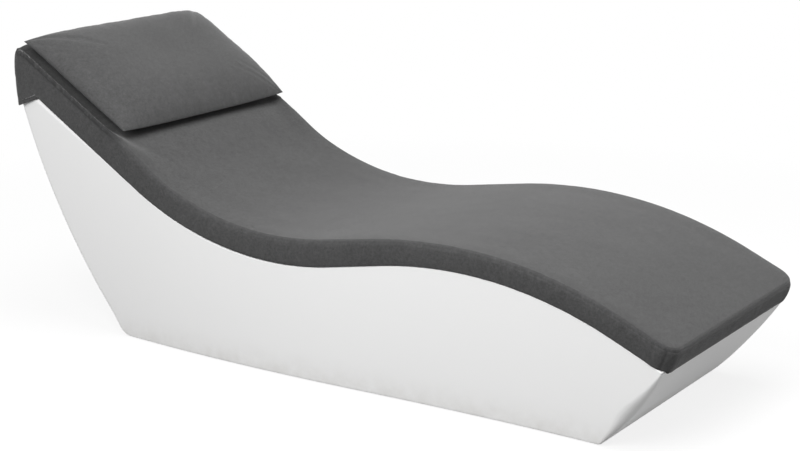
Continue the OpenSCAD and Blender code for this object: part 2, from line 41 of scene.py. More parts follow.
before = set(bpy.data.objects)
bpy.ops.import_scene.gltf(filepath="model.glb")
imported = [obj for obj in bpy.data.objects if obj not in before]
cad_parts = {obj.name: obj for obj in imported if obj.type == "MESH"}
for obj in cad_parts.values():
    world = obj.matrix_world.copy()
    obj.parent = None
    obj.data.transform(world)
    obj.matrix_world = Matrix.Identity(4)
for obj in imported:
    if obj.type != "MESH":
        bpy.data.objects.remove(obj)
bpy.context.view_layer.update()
MM = 0.001


# ---------------------------------------------------------------- settings
def length(text, hint, value, low=0.0):
    return bpy.props.FloatProperty(
        name=text, description=hint, default=value, min=low, unit="LENGTH", precision=4)


def angle(text, hint, degrees):
    return bpy.props.FloatProperty(
        name=text, description=hint, default=math.radians(degrees), unit="ROTATION")


def colour(text, hint, value):
    return bpy.props.FloatVectorProperty(
        name=text, description=hint, default=value, size=3, min=0, max=1, subtype="COLOR")


def share(text, hint, value):
    return bpy.props.FloatProperty(
        name=text, description=hint, default=value, min=0, max=1, subtype="FACTOR")


class LoungerDeck(bpy.types.PropertyGroup):
    """The S-shaped deck line, seen from the side"""
    head_height: length("Head height", "Deck's head edge over the underside", 0.675)
    back_slope: angle("Backrest slope", "Slope of the backrest below the horizontal", 32)
    back_length: length("Backrest", "Length of the straight backrest", 0.475)
    lumbar_radius: length("Hollow radius", "Radius between backrest and seat", 0.837)
    thigh_slope: angle("Thigh rest slope", "Climb of the thigh rest", 10)
    thigh_length: length("Thigh rest", "Length of the straight thigh rest", 0.155)
    knee_radius: length("Knee radius", "Radius of the crest under the knees", 1.030)
    foot_slope: angle("Foot rest slope", "Slope of the foot rest below the horizontal", 24)
    foot_length: length("Foot rest", "Length of the straight foot rest", 0.132)


class LoungerBase(bpy.types.PropertyGroup):
    """The hollow moulded base"""
    width: length("Deck width", "Width of the base at the deck", 0.698)
    lean: angle("Side lean", "Inward lean of the side walls", 8.2)
    rear_run: length("Rear run", "Run from the head edge to the rear corner", 0.286)
    front_run: length("Front run", "Run from the front corner to the foot edge", 0.164)
    rear_radius: length("Rear bow", "Radius of the bowed rear face", 1.400)
    front_radius: length("Front bow", "Radius of the bowed front face", 0.810)
    foot_edge_radius: length("Foot edge radius", "Largest radius of the edges beside the foot end", 0.028)
    edge_radius: length("Edge radius", "Rounding along the side walls", 0.014)
    rear_toe: length("Rear toe radius", "Rounding of the rear corner of the underside", 0.050)
    front_toe: length("Front toe radius", "Rounding of the front corner of the underside", 0.016)
    stand: length("Stand height", "Height of the underside over the floor", 0.002)
    pad_diameter: length("Pad diameter", "Diameter of a floor pad", 0.040)
    pad_depth: length("Pad recess", "Depth of a floor pad's recess", 0.004)
    insert_diameter: length("Insert diameter", "Diameter of a moulded-in insert", 0.014)
    insert_length: length("Insert length", "Length of a moulded-in insert", 0.018)
    bush_diameter: length("Bush diameter", "Diameter of the drain plug's bush", 0.038)
    bush_length: length("Bush length", "Length of the drain plug's bush", 0.019)
    pad_track: length("Pad track", "Distance between the two rows of pads", 0.420)
    pad_setback: length("Pad setback", "Distance of the end pads from the corners", 0.130)


class LoungerMattress(bpy.types.PropertyGroup):
    """The sewn mattress and its head pocket"""
    width: length("Width", "Width of the mattress", 0.700)
    thickness: length("Thickness", "Thickness at the top seam's ridge", 0.062)
    crown: length("Crown", "Extra height in the middle", 0.004)
    reach: length("Foot overhang", "Reach past the foot edge of the deck", 0.004)
    foot_corner: length("Foot corner radius", "Corner radius at the foot, from above", 0.046)
    head_corner: length("Head corner radius", "Corner radius at the head, from above", 0.020)
    foot_corner_low: length("Lower foot corner radius", "Corner radius at the foot, under the mattress", 0.030)
    foot_hang: length("Foot hang", "How far the foot end hangs over the deck's edge", 0.0065)
    swell: length("Band swell", "Swell of the side band at half its height", 0.0024)
    tuck: length("Tuck", "How far the top seam is drawn in from the band", 0.0016)
    seam_drop: length("Seam drop", "Drop of the top seam below the top face", 0.004)
    lift: length("Lift", "Gap between deck and mattress, filled by the tapes", 0.0025)
    cloth: length("Cloth", "Thickness of the cover fabric", 0.0012)
    pocket_depth: length("Pocket depth", "Depth of the pocket below the head edge", 0.078)
    hem_rise: angle("Hem rise", "Slope of the pocket's hem", 20)
    pocket_gap: length("Pocket gap", "Gap between the base's rear face and the pocket", 0.0015)


class LoungerPillow(bpy.types.PropertyGroup):
    """The loose head pillow"""
    width: length("Width", "Width between the corner tips", 0.668)
    length: length("Length", "Length between the corner tips", 0.386)
    rise: length("Rise", "Height of the crown over the seam", 0.050)
    depth: length("Depth", "Depth of the pillow below its seam", 0.030)
    past: length("Past the head", "Distance of the upper seam past the head edge", 0.022)
    draw: length("Draw", "Inward draw of the seam between two tips", 0.009)
    near_draw: length("Near draw", "Inward draw of the near seam between its tips", 0.002)
    near_sag: length("Near sag", "How far the middle of the near seam hangs down", 0.006)


class LoungerLook(bpy.types.PropertyGroup):
    """Colours and finishes"""
    shell: colour("Base", "Colour of the moulded base", (0.87, 0.87, 0.868))
    cloth: colour("Cloth", "Middle colour of the cover cloth", (0.050, 0.050, 0.0503))
    thread: colour("Thread", "Colour of the sewing thread", (0.052, 0.052, 0.053))
    rubber: colour("Rubber", "Colour of the floor pads", (0.022, 0.022, 0.023))
    mottling: share("Mottling", "Strength of the cloth's colour variation", 0.22)


class LoungerStage(bpy.types.PropertyGroup):
    """Camera, floor and lamps"""
    turn: angle("Camera turn", "Turn of the camera from the near side to the foot", 33.2)
    tilt: angle("Camera tilt", "Height of the camera over the horizontal", 14.3)
    distance: length("Camera distance", "Distance from the aim point", 4.5782)
    aim_x: bpy.props.FloatProperty(name="Aim X", description="Aim point along the lounger",
                                   default=0.0268, unit="LENGTH")
    aim_z: length("Aim Z", "Height of the aim point", 0.3353)
    lens: bpy.props.FloatProperty(name="Lens", description="Focal length in millimetres",
                                  default=81.99, min=1)
    sky: bpy.props.FloatProperty(name="Sky", description="Strength of the even light from all round",
                                 default=0.35, min=0)
    key: bpy.props.FloatProperty(name="Key lamp", description="Power of the near side lamp in watts",
                                 default=124, min=0)
    top: bpy.props.FloatProperty(name="Top lamp", description="Power of the overhead lamp in watts",
                                 default=97, min=0)


GROUPS = {"deck": LoungerDeck, "base": LoungerBase, "mattress": LoungerMattress,
          "pillow": LoungerPillow, "look": LoungerLook, "stage": LoungerStage}


def settings(name):
    return getattr(bpy.context.scene, "lounger_" + name)


# ---------------------------------------------------------------- the deck line
class DeckLine:
    """The line from the head edge to the foot edge. Its heading changes evenly between knots."""

    def __init__(self):
        d, b, m = settings("deck"), settings("base"), settings("mattress")
        self.base = b
        lumbar = d.lumbar_radius * (d.back_slope + d.thigh_slope)
        knee = d.knee_radius * (d.thigh_slope + d.foot_slope)
        self.knots = np.cumsum([0, d.back_length, lumbar, d.thigh_length, knee, d.foot_length])
        self.turns = np.array([-d.back_slope, -d.back_slope, d.thigh_slope, d.thigh_slope,
                               -d.foot_slope, -d.foot_slope])
        self.length = float(self.knots[-1])
        self.s = np.arange(-0.4, self.length + 0.4, 0.0005)
        mid = self.heading((self.s[1:] + self.s[:-1]) / 2)
        step = np.diff(self.s)
        x = np.concatenate([[0], np.cumsum(np.cos(mid) * step)])
        z = np.concatenate([[0], np.cumsum(np.sin(mid) * step)])
        x -= np.interp(0, self.s, x)
        z -= np.interp(0, self.s, z)
        run = np.interp(self.length, self.s, x)
        foot_out = (run + m.reach * math.cos(d.foot_slope)
                    + (m.thickness - m.seam_drop) * math.sin(d.foot_slope))
        head_out = m.pocket_gap + m.cloth
        self.head = np.array([-(foot_out - head_out) / 2, d.head_height + b.stand])
        self.x, self.z = x + self.head[0], z + self.head[1]
        self.slope = d.back_slope
        self.foot = self.at(self.length, 0)
        self.rear_corner = np.array([self.head[0] + b.rear_run, b.stand])
        self.front_corner = np.array([self.foot[0] - b.front_run, b.stand])

    def heading(self, s):
        return np.interp(s, self.knots, self.turns)

    def at(self, s, n):
        h = self.heading(s)
        return np.stack([np.interp(s, self.s, self.x) - n * np.sin(h),
                         np.interp(s, self.s, self.z) + n * np.cos(h)], -1)

    def height_at(self, x):
        inside = (self.s >= 0) & (self.s <= self.length)
        return np.interp(x, self.x[inside], self.z[inside])

    def plumb(self, s, n, start, reach):
        """A place of the mattress: the head end is cut upright, and the slant fades over reach."""
        fade = np.clip(1 - np.clip(s - start, 0, None) / reach, 0, 1)
        return self.at(s - n * math.tan(self.slope) * fade, n)


# ---------------------------------------------------------------- mesh tools
def wobble(points, scale, seed=0.0):
    """Smooth noise from -1 to 1 at each point; scale is the size of its lumps in metres."""
    return np.array([noise.noise(Vector((x / scale + seed, y / scale - seed, z / scale + 3.1 * seed)))
                     for x, y, z in points])


def sheet_faces(rows, cols, start=0, flip=False, closed=False):
    faces = []
    for i in range(rows - 1):
        for j in range(cols if closed else cols - 1):
            k = (j + 1) % cols
            f = (start + i * cols + j, start + i * cols + k,
                 start + (i + 1) * cols + k, start + (i + 1) * cols + j)
            faces.append(f[::-1] if flip else f)
    return faces


def new_piece(name, points, faces, material, body, replaces=(), smooth=True, marks=None):
    mesh = bpy.data.meshes.new(name)
    mesh.from_pydata([tuple(p) for p in points], [], faces)
    mesh.validate()
    mesh.update()
    piece = bpy.data.objects.new(name, mesh)
    bpy.context.scene.collection.objects.link(piece)
    for label, values in (marks or {}).items():
        layer = mesh.attributes.new(label, "FLOAT", "POINT")
        layer.data.foreach_set("value", np.asarray(values, np.float32))
    finish_piece(piece, material, body, replaces, smooth)
    return piece


def finish_piece(piece, material, body, replaces=(), smooth=True):
    piece.data.materials.clear()
    piece.data.materials.append(material)
    piece.data.polygons.foreach_set("use_smooth", [smooth] * len(piece.data.polygons))
    piece.data.update()
    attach(piece, body)
    if replaces:
        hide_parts(*replaces)


def outward(piece):
    """Turns every face of a closed piece outwards."""
    work = bmesh.new()
    work.from_mesh(piece.data)
    bmesh.ops.recalc_face_normals(work, faces=work.faces)
    work.to_mesh(piece.data)
    work.free()
    piece.data.update()


def rod(path, radius, sides=8, close=False):
    """A tube along a path, with capped ends, as points and faces."""
    path = np.asarray(path, float)
    count = len(path)
    tangent = np.gradient(path, axis=0)
    if close:
        tangent = np.roll(path, -1, 0) - np.roll(path, 1, 0)
    tangent /= np.linalg.norm(tangent, axis=1)[:, None]
    up = np.array([0.0, 0.0, 1.0])
    if abs(tangent[0] @ up) > 0.9:
        up = np.array([0.0, 1.0, 0.0])
    points, radii = [], np.broadcast_to(radius, (count,))
    side = np.cross(tangent[0], up)
    for k in range(count):
        side = side - (side @ tangent[k]) * tangent[k]
        side /= np.linalg.norm(side)
        lift = np.cross(side, tangent[k])
        for a in np.arange(sides) * 2 * math.pi / sides:
            points.append(path[k] + radii[k] * (math.cos(a) * side + math.sin(a) * lift))
    faces = sheet_faces(count, sides, closed=True)
    if close:
        faces += [(((count - 1) * sides + j), (count - 1) * sides + (j + 1) % sides,
                   (j + 1) % sides, j) for j in range(sides)]
    else:
        faces += [tuple(range(sides))[::-1],
                  tuple(range((count - 1) * sides, count * sides))]
    return points, faces


def stitch_row(path, normal, pitch, long, radius, sink):
    """Separate sewn stitches along a path: short threads that dip into the cloth at both ends."""
    path, normal = np.asarray(path, float), np.asarray(normal, float)
    at = np.concatenate([[0], np.cumsum(np.linalg.norm(np.diff(path, axis=0), axis=1))])
    points, faces = [], []
    for s in np.arange(pitch / 2, at[-1] - pitch / 2, pitch):
        spots = s + np.array([-0.5, -0.3, 0, 0.3, 0.5]) * long
        line = np.stack([np.interp(spots, at, path[:, k]) for k in range(3)], 1)
        up = np.stack([np.interp(spots, at, normal[:, k]) for k in range(3)], 1)
        up /= np.linalg.norm(up, axis=1)[:, None]
        line += up * (np.array([-1.0, 0.15, 0.6, 0.15, -1.0]) * sink)[:, None]
        p, f = rod(line, radius * np.array([0.75, 1, 1, 1, 0.75]), 5)
        faces += [tuple(i + len(points) for i in g) for g in f]
        points += p
    return points, faces


def soften(node, width, segments=2):
    """A copy of a CAD node with its sharp edges slightly rounded."""
    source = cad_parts[node]
    mesh = source.data.copy()
    mesh.name = node + "_dressed"
    piece = bpy.data.objects.new(node + "_dressed", mesh)
    bpy.context.scene.collection.objects.link(piece)
    work = bmesh.new()
    work.from_mesh(mesh)
    bmesh.ops.remove_doubles(work, verts=work.verts, dist=1e-6)
    bmesh.ops.dissolve_limit(work, angle_limit=math.radians(1), verts=work.verts, edges=work.edges)
    sharp = [e for e in work.edges if e.is_manifold and e.calc_face_angle(0) > math.radians(35)]
    bmesh.ops.bevel(work, geom=sharp, offset=width, segments=segments, affect="EDGES",
                    profile=0.5, clamp_overlap=True)
    work.to_mesh(mesh)
    work.free()
    if mesh.has_custom_normals:
        mesh.free_normals_split() if hasattr(mesh, "free_normals_split") else None
    return piece


# ---------------------------------------------------------------- materials
class Wire:
    """A shader socket that takes part in Python arithmetic."""

    def __init__(self, paint, socket):
        self.paint, self.socket = paint, socket

    def _do(self, operation, *values):
        return self.paint.node("ShaderNodeMath", {"operation": operation}, dict(enumerate(values)))

    def __add__(self, other): return self._do("ADD", self, other)
    def __radd__(self, other): return self._do("ADD", other, self)
    def __sub__(self, other): return self._do("SUBTRACT", self, other)
    def __rsub__(self, other): return self._do("SUBTRACT", other, self)
    def __mul__(self, other): return self._do("MULTIPLY", self, other)
    def __rmul__(self, other): return self._do("MULTIPLY", other, self)
    def __truediv__(self, other): return self._do("DIVIDE", self, other)
    def __rtruediv__(self, other): return self._do("DIVIDE", other, self)
    def __pow__(self, other): return self._do("POWER", self, other)
    def __gt__(self, other): return self._do("GREATER_THAN", self, other)

    def limited(self, low=0.0, high=1.0):
        return self._do("MINIMUM", self._do("MAXIMUM", self, low), high)

    def wave(self): return self._do("SINE", self)
    def size(self): return self._do("ABSOLUTE", self)


class Paint:
    """One material's nodes. Constants go straight onto the shader's own sockets."""

    def __init__(self, name, **constants):
        self.material = bpy.data.materials.new(name)
        self.material.use_nodes = True
        self.tree = self.material.node_tree
        self.shader = self.tree.nodes["Principled BSDF"]
        for key, value in constants.items():
            socket = self.shader.inputs[key.replace("_", " ").title().replace("Ior", "IOR")]
            if socket.type == "RGBA" and len(value) == 3:
                value = (*value, 1)
            socket.default_value = value

    def node(self, kind, options=None, sockets=None, out=0):
        made = self.tree.nodes.new(kind)
        for key, value in (options or {}).items():
            if key == "stops":
                ramp = made.color_ramp
                while len(ramp.elements) < len(value):
                    ramp.elements.new(0.5)
                for stop, (place, tint) in zip(ramp.elements, value):
                    stop.position, stop.color = place, (*tint, 1)
            else:
                setattr(made, key, value)
        for key, value in (sockets or {}).items():
            if isinstance(value, Wire):
                self.tree.links.new(value.socket, made.inputs[key])
            elif isinstance(value, tuple) and made.inputs[key].type == "RGBA":
                made.inputs[key].default_value = (*value[:3], 1)
            else:
                made.inputs[key].default_value = value
        return Wire(self, made.outputs[out])

    def place(self):
        return self.node("ShaderNodeTexCoord", out="Object")

    def mark(self, label):
        return self.node("ShaderNodeAttribute", {"attribute_name": label}, out="Fac")

    def parts(self, vector):
        cut = self.node("ShaderNodeSeparateXYZ", sockets={0: vector})
        outputs = cut.socket.node.outputs
        return [Wire(self, o) for o in outputs]

    def joined(self, x, y, z=0.0):
        return self.node("ShaderNodeCombineXYZ", sockets={0: x, 1: y, 2: z})

    def grain(self, vector, scale, detail=2.0, rough=0.5):
        return self.node("ShaderNodeTexNoise", {"noise_dimensions": "3D"},
                         {"Vector": vector, "Scale": scale, "Detail": detail, "Roughness": rough})

    def cells(self, vector, scale, out="Distance"):
        return self.node("ShaderNodeTexVoronoi", {"feature": "F1"},
                         {"Vector": vector, "Scale": scale}, out)

    def blend(self, factor, a, b, mode="MIX"):
        return self.node("ShaderNodeMix", {"data_type": "RGBA", "blend_type": mode},
                         {0: factor, 6: a, 7: b}, 2)

    def feed(self, socket, wire):
        self.tree.links.new(wire.socket, self.shader.inputs[socket])

    def bump(self, height, distance, strength=1.0, normal=None):
        sockets = {"Height": height, "Distance": distance, "Strength": strength}
        if normal is not None:
            sockets["Normal"] = normal
        return self.node("ShaderNodeBump", None, sockets)


MATERIALS = {}


def material(name):
    if name not in MATERIALS:
        MATERIALS[name] = MAKERS[name]()
    return MATERIALS[name]


def moulded_plastic(name, tint, roughness, peel, dust=0.0):
    """Satin moulded plastic: faint orange peel, slow waviness, and dust and scuffs low down."""
    p = Paint(name, ior=1.49)
    here = p.place()
    slow = p.grain(here, 3.0, 3.0)
    cloudy = p.grain(here, 26.0, 3.0, 0.6)
    peel_grain = p.grain(here, 620.0, 2.0)
    scuff = p.grain(p.node("ShaderNodeVectorMath", {"operation": "MULTIPLY"},
                           {0: here, 1: (9.0, 9.0, 160.0)}), 1.0, 4.0, 0.7)
    x, y, z = p.parts(here)
    low = (1.0 - z / 0.09).limited()
    grime = (low * low * (cloudy * 1.6 - 0.35).limited() * dust).limited()
    worn_and_painted_light = p.mark("wear")
    base = p.blend((slow - 0.5) * 0.10 + 0.5, tuple(c * 0.985 for c in tint), tuple(min(1, c * 1.012) for c in tint))
    base = p.blend(grime, base, (tint[0] * 0.62, tint[1] * 0.60, tint[2] * 0.56))
    # On the base this mark holds only wear: the edge roundings are scuffed a little darker.
    base = p.blend((worn_and_painted_light * 0.06 * cloudy).limited(), base, (tint[0] * 0.80, tint[1] * 0.79, tint[2] * 0.77))
    p.feed("Base Color", base)
    marks = ((scuff - 0.62) * 6.0).limited()
    p.feed("Roughness", (roughness + (cloudy - 0.5) * 0.10 + marks * 0.05 + grime * 0.25 - worn_and_painted_light * 0.04).limited())
    normal = p.bump(slow, 0.0016, 0.25)
    p.feed("Normal", p.bump(peel_grain, peel, 0.35, normal))
    return p.material


def cover_cloth(name, tint, mottling, thread_pitch=0.0011):
    """Fine plain-woven outdoor cloth, spun from lighter and darker fibres."""
    p = Paint(name, sheen_weight=0.40, sheen_roughness=0.46, sheen_tint=(0.80, 0.80, 0.80), specular_ior_level=0.20)
    here, u, v = p.place(), p.mark("along"), p.mark("across")
    turn = 2 * math.pi / thread_pitch
    drift = p.grain(here, 34.0, 2.0)
    along = (u * turn + drift * 1.4).wave()
    across = (v * turn + drift * 1.4).wave()
    over = (along * across) > 0.0
    warp = (along.size() * 0.6 + 0.4) * over
    weft = (across.size() * 0.6 + 0.4) * (1.0 - over)
    height = warp + weft
    slub = p.grain(p.joined(u * 90.0, v * 2100.0), 1.0, 2.0)
    slub_two = p.grain(p.joined(u * 2100.0, v * 90.0), 1.0, 2.0)
    fleck = p.grain(here, 420.0, 3.0, 0.65)
    patch = p.grain(here, 60.0, 4.0, 0.6)
    slow = p.grain(here, 5.0, 3.0)
    tone = ((slub * over + slub_two * (1.0 - over)) - 0.5) * 0.9
    clots = p.grain(here, 150.0, 2.0, 0.6)
    tone = tone + (fleck - 0.5) * 2.2 + (clots - 0.5) * 1.7 + (patch - 0.5) * 1.1 + (slow - 0.5) * 0.5
    dark = tuple(c * (1 - mottling * 2.2) for c in tint)
    light = tuple(min(1.0, c * (1 + mottling * 2.6)) for c in tint)
    base = p.blend((tone * 0.5 + 0.5).limited(), dark, light)
    # Painted shade: this mark darkens the cloth towards a third of its colour in seam grooves, under rims and edges,
    # and in the hollows beside and under the pillow.
    shade = p.mark("seam")
    base = p.blend((shade * 0.55).limited(), base, tuple(c * 0.34 for c in tint))
    # This mark lightens the cloth: real rubbed wear along the mattress's rolled ridge, and painted light on the
    # pillow's upper panel.
    worn_and_painted_light = p.mark("wear")
    base = p.blend((worn_and_painted_light * (0.35 + patch * 0.5) * 0.26).limited(), base, tuple(min(1, c * 1.75) for c in tint))
    p.feed("Base Color", base)
    p.feed("Roughness", (0.86 + (fleck - 0.5) * 0.16 - worn_and_painted_light * 0.06).limited())
    p.feed("Normal", p.bump(height + (fleck - 0.5) * 0.8, 0.00022, 0.55, p.bump(patch, 0.0006, 0.22)))
    return p.material


def simple_grain(name, tint, roughness, scale, depth, spread=0.12, metallic=0.0, **constants):
    """A plain finish with its own grain: colour, gloss and surface all vary a little."""
    p = Paint(name, metallic=metallic, **constants)
    here = p.place()
    fine, rough = p.grain(here, scale, 3.0, 0.6), p.grain(here, scale / 14, 3.0)
    base = p.blend(((fine - 0.5) * 0.8 + (rough - 0.5) * 0.8 + 0.5).limited(),
                   tuple(c * (1 - spread) for c in tint), tuple(min(1, c * (1 + spread)) for c in tint))
    p.feed("Base Color", base)
    p.feed("Roughness", (roughness + (rough - 0.5) * 0.2 + (fine - 0.5) * 0.1).limited())
    p.feed("Normal", p.bump(fine, depth, 0.5))
    return p.material


def turned_metal(name, tint, roughness, pitch=0.0004):
    """Turned or drawn metal with fine rings, worn a little on its faces."""
    p = Paint(name, metallic=1.0)
    here = p.place()
    x, y, z = p.parts(here)
    rings = (z * (2 * math.pi / pitch)).wave() * 0.5 + 0.5
    fine = p.grain(here, 900.0, 3.0)
    stain = p.grain(here, 90.0, 4.0, 0.65)
    base = p.blend((stain * 1.3 - 0.2).limited(), tuple(c * 0.82 for c in tint), tint)
    p.feed("Base Color", base)
    p.feed("Roughness", (roughness + rings * 0.06 + (stain - 0.5) * 0.2).limited())
    p.feed("Normal", p.bump(rings + fine, 0.00003, 0.4))
    return p.material


def foam_cells(name, tint):
    """Open-cell foam: round pores of mixed size."""
    p = Paint(name, subsurface_weight=0.0)
    here = p.place()
    pores, large = p.cells(here, 620.0), p.cells(here, 240.0)
    tone = p.grain(here, 12.0, 3.0)
    depth = (pores * 1.3).limited() * 0.7 + (large * 1.2).limited() * 0.3
    # Painted shade: the pores are darker the deeper they go, as the bump.
    base = p.blend((depth * 0.8 + (tone - 0.5) * 0.3).limited(), tuple(c * 0.72 for c in tint), tint)
    p.feed("Base Color", base)
    p.feed("Roughness", (0.92 + (tone - 0.5) * 0.1).limited())
    p.feed("Normal", p.bump(depth, 0.0009, 0.6))
    return p.material


def fibre_fill(name, tint):
    """Carded polyester fibre: long tangled strands."""
    p = Paint(name, sheen_weight=0.4)
    here = p.place()
    bent = p.node("ShaderNodeVectorMath", {"operation": "MULTIPLY"}, {0: here, 1: (40.0, 260.0, 260.0)})
    strands, wad = p.grain(bent, 1.0, 5.0, 0.7), p.grain(here, 40.0, 3.0)
    p.feed("Base Color", p.blend((strands * 0.8 + wad * 0.3).limited(), tuple(c * 0.8 for c in tint), tint))
    p.feed("Roughness", (0.9 + (wad - 0.5) * 0.1).limited())
    p.feed("Normal", p.bump(strands + wad, 0.002, 0.5))
    return p.material


def pile_tape(name, tint, pitch, depth):
    """Woven tape with a dense pile of hooks or loops."""
    p = Paint(name, sheen_weight=0.5, sheen_roughness=0.5)
    here = p.place()
    dots, fuzz = p.cells(here, 1 / pitch), p.grain(here, 1500.0, 3.0)
    # Painted shade and highlight: lighter on the tops of the hooks or loops, darker between them, following the
    # bump.
    base = p.blend((dots * 1.4).limited(), tuple(min(1, c * 1.5) for c in tint), tuple(c * 0.5 for c in tint))
    p.feed("Base Color", p.blend((fuzz * 0.6).limited(), base, tint))
    p.feed("Roughness", (0.7 + (fuzz - 0.5) * 0.3).limited())
    p.feed("Normal", p.bump(1.0 - dots, depth, 0.8))
    return p.material


def ribbed_tape(name, tint, pitch):
    """Herringbone zip tape."""
    p = Paint(name, sheen_weight=0.2)
    here = p.place()
    x, y, z = p.parts(here)
    slant = (y * (2 * math.pi / pitch) + ((x + z) * (2 * math.pi / (pitch * 3))).wave() * 2.0).wave()
    fuzz = p.grain(here, 1200.0, 3.0)
    # Painted highlight: the ribs are lighter where they stand up; the fuzz's share is the yarn's own tone.
    p.feed("Base Color", p.blend((slant * 0.25 + fuzz * 0.5).limited(), tint, tuple(c * 2.2 for c in tint)))
    p.feed("Roughness", (0.75 + (fuzz - 0.5) * 0.2).limited())
    p.feed("Normal", p.bump(slant + fuzz, 0.00012, 0.6))
    return p.material


MAKERS = {
    "shell_plastic": lambda: moulded_plastic("Moulded base", tuple(settings("look").shell), 0.42, 0.00006, 0.5),
    "bush_plastic": lambda: moulded_plastic("Bush plastic", (0.74, 0.74, 0.73), 0.38, 0.00005),
    "plug_plastic": lambda: moulded_plastic("Plug plastic", (0.66, 0.66, 0.65), 0.34, 0.00005),
    "cover_cloth": lambda: cover_cloth("Cover cloth", tuple(settings("look").cloth), settings("look").mottling),
    "thread": lambda: simple_grain("Sewing thread", tuple(settings("look").thread), 0.62, 2600.0, 0.0001, 0.3),
    "pad_rubber": lambda: simple_grain("Floor pad rubber", tuple(settings("look").rubber), 0.72, 700.0, 0.0001),
    "seal_rubber": lambda: simple_grain("Seal rubber", (0.015, 0.015, 0.015), 0.5, 900.0, 0.00005),
    "screw_steel": lambda: turned_metal("Zinc plated steel", (0.62, 0.64, 0.66), 0.30),
    "brass_insert": lambda: turned_metal("Brass insert", (0.72, 0.53, 0.25), 0.28, 0.0008),
    "zip_metal": lambda: simple_grain("Zip lacquer", (0.035, 0.036, 0.038), 0.36, 1400.0, 0.00003,
                                      0.2, coat_weight=0.3),
    "zip_coil": lambda: simple_grain("Zip coil nylon", (0.022, 0.022, 0.023), 0.42, 1600.0, 0.00003),
    "zip_tape": lambda: ribbed_tape("Zip tape", (0.024, 0.024, 0.026), 0.0012),
    "hook_tape": lambda: pile_tape("Hook tape", (0.040, 0.040, 0.044), 0.0016, 0.0010),
    "loop_tape": lambda: pile_tape("Loop tape", (0.060, 0.060, 0.065), 0.0011, 0.0006),
    "foam": lambda: foam_cells("Foam core", (0.82, 0.76, 0.56)),
    "fill_fibre": lambda: fibre_fill("Fibre fill", (0.90, 0.90, 0.89)),
}


# ---------------------------------------------------------------- the moulded base
def meet(p, u, c, r):
    """Distance along a line from p in direction u to the near crossing with a circle."""
    q = p - c
    b = q @ u
    return -b - math.sqrt(b * b - q @ q + r * r)


def bow_centre(p, q, r):
    c = q - p
    reach = np.linalg.norm(c)
    return (p + q) / 2 + math.sqrt(r * r - reach * reach / 4) * np.array([-c[1], c[0]]) / reach


def turn_to(c, p):
    return math.atan2(p[1] - c[1], p[0] - c[0])


def on_arc(c, r, a, b, w):
    t = a + (b - a) * np.asarray(w)
    return c + r * np.stack([np.cos(t), np.sin(t)], -1)


class BaseOutline:
    """The base seen from the side, with its outline moved inwards by any distance."""

    def __init__(self, deck):
        self.deck, b = deck, deck.base
        self.b = b
        self.rear = bow_centre(deck.head, deck.rear_corner, b.rear_radius)
        self.front = bow_centre(deck.front_corner, deck.foot, b.front_radius)
        self.rear_toe = self.toe(self.rear, b.rear_radius, b.rear_toe, -1)
        self.front_toe = self.toe(self.front, b.front_radius, b.front_toe, 1)

    def toe(self, c, r, toe_r, side):
        z = self.b.stand + toe_r
        return np.array([c[0] + side * math.sqrt((r - toe_r) ** 2 - (c[1] - z) ** 2), z])

    def lines(self, d):
        """The lower outline's points at inset d, and the deck line's points above them."""
        k, b, full = self.deck, self.b, 2 * math.pi
        back = np.array([math.cos(k.slope), -math.sin(k.slope)])
        foot_slope = k.turns[-1]
        ahead = np.array([math.cos(foot_slope), math.sin(foot_slope)])
        s0 = meet(k.at(0.0, -d), back, self.rear, b.rear_radius - d)
        s1 = k.length - meet(k.at(k.length, -d), -ahead, self.front, b.front_radius - d)
        s = np.linspace(s0, s1, 1200)
        top = k.at(s, -d)
        rear_top = turn_to(self.rear, top[0]) + full
        rear_low = turn_to(self.rear, self.rear_toe) + full
        front_low = turn_to(self.front, self.front_toe) + full
        front_top = turn_to(self.front, top[-1]) + full
        down = 1.5 * math.pi
        first = self.rear_toe - np.array([0, b.rear_toe - d])
        last = self.front_toe - np.array([0, b.front_toe - d])
        w = np.linspace(0, 1, 73)[1:-1, None]
        low = np.concatenate([
            on_arc(self.rear, b.rear_radius - d, rear_top, rear_low,
                   0.006 + 0.994 * np.linspace(0, 1, 44) ** 1.25),
            on_arc(self.rear_toe, b.rear_toe - d, rear_low, down, np.linspace(0, 1, 12)[1:]),
            first + (last - first) * w,
            on_arc(self.front_toe, b.front_toe - d, down, front_low, np.linspace(0, 1, 8)[:-1]),
            on_arc(self.front, b.front_radius - d, front_low, front_top,
                   0.993 * (1 - np.linspace(1, 0, 26) ** 1.15)),
        ])
        high = np.stack([low[:, 0], np.interp(low[:, 0], top[:, 0], top[:, 1])], -1)
        return low, high


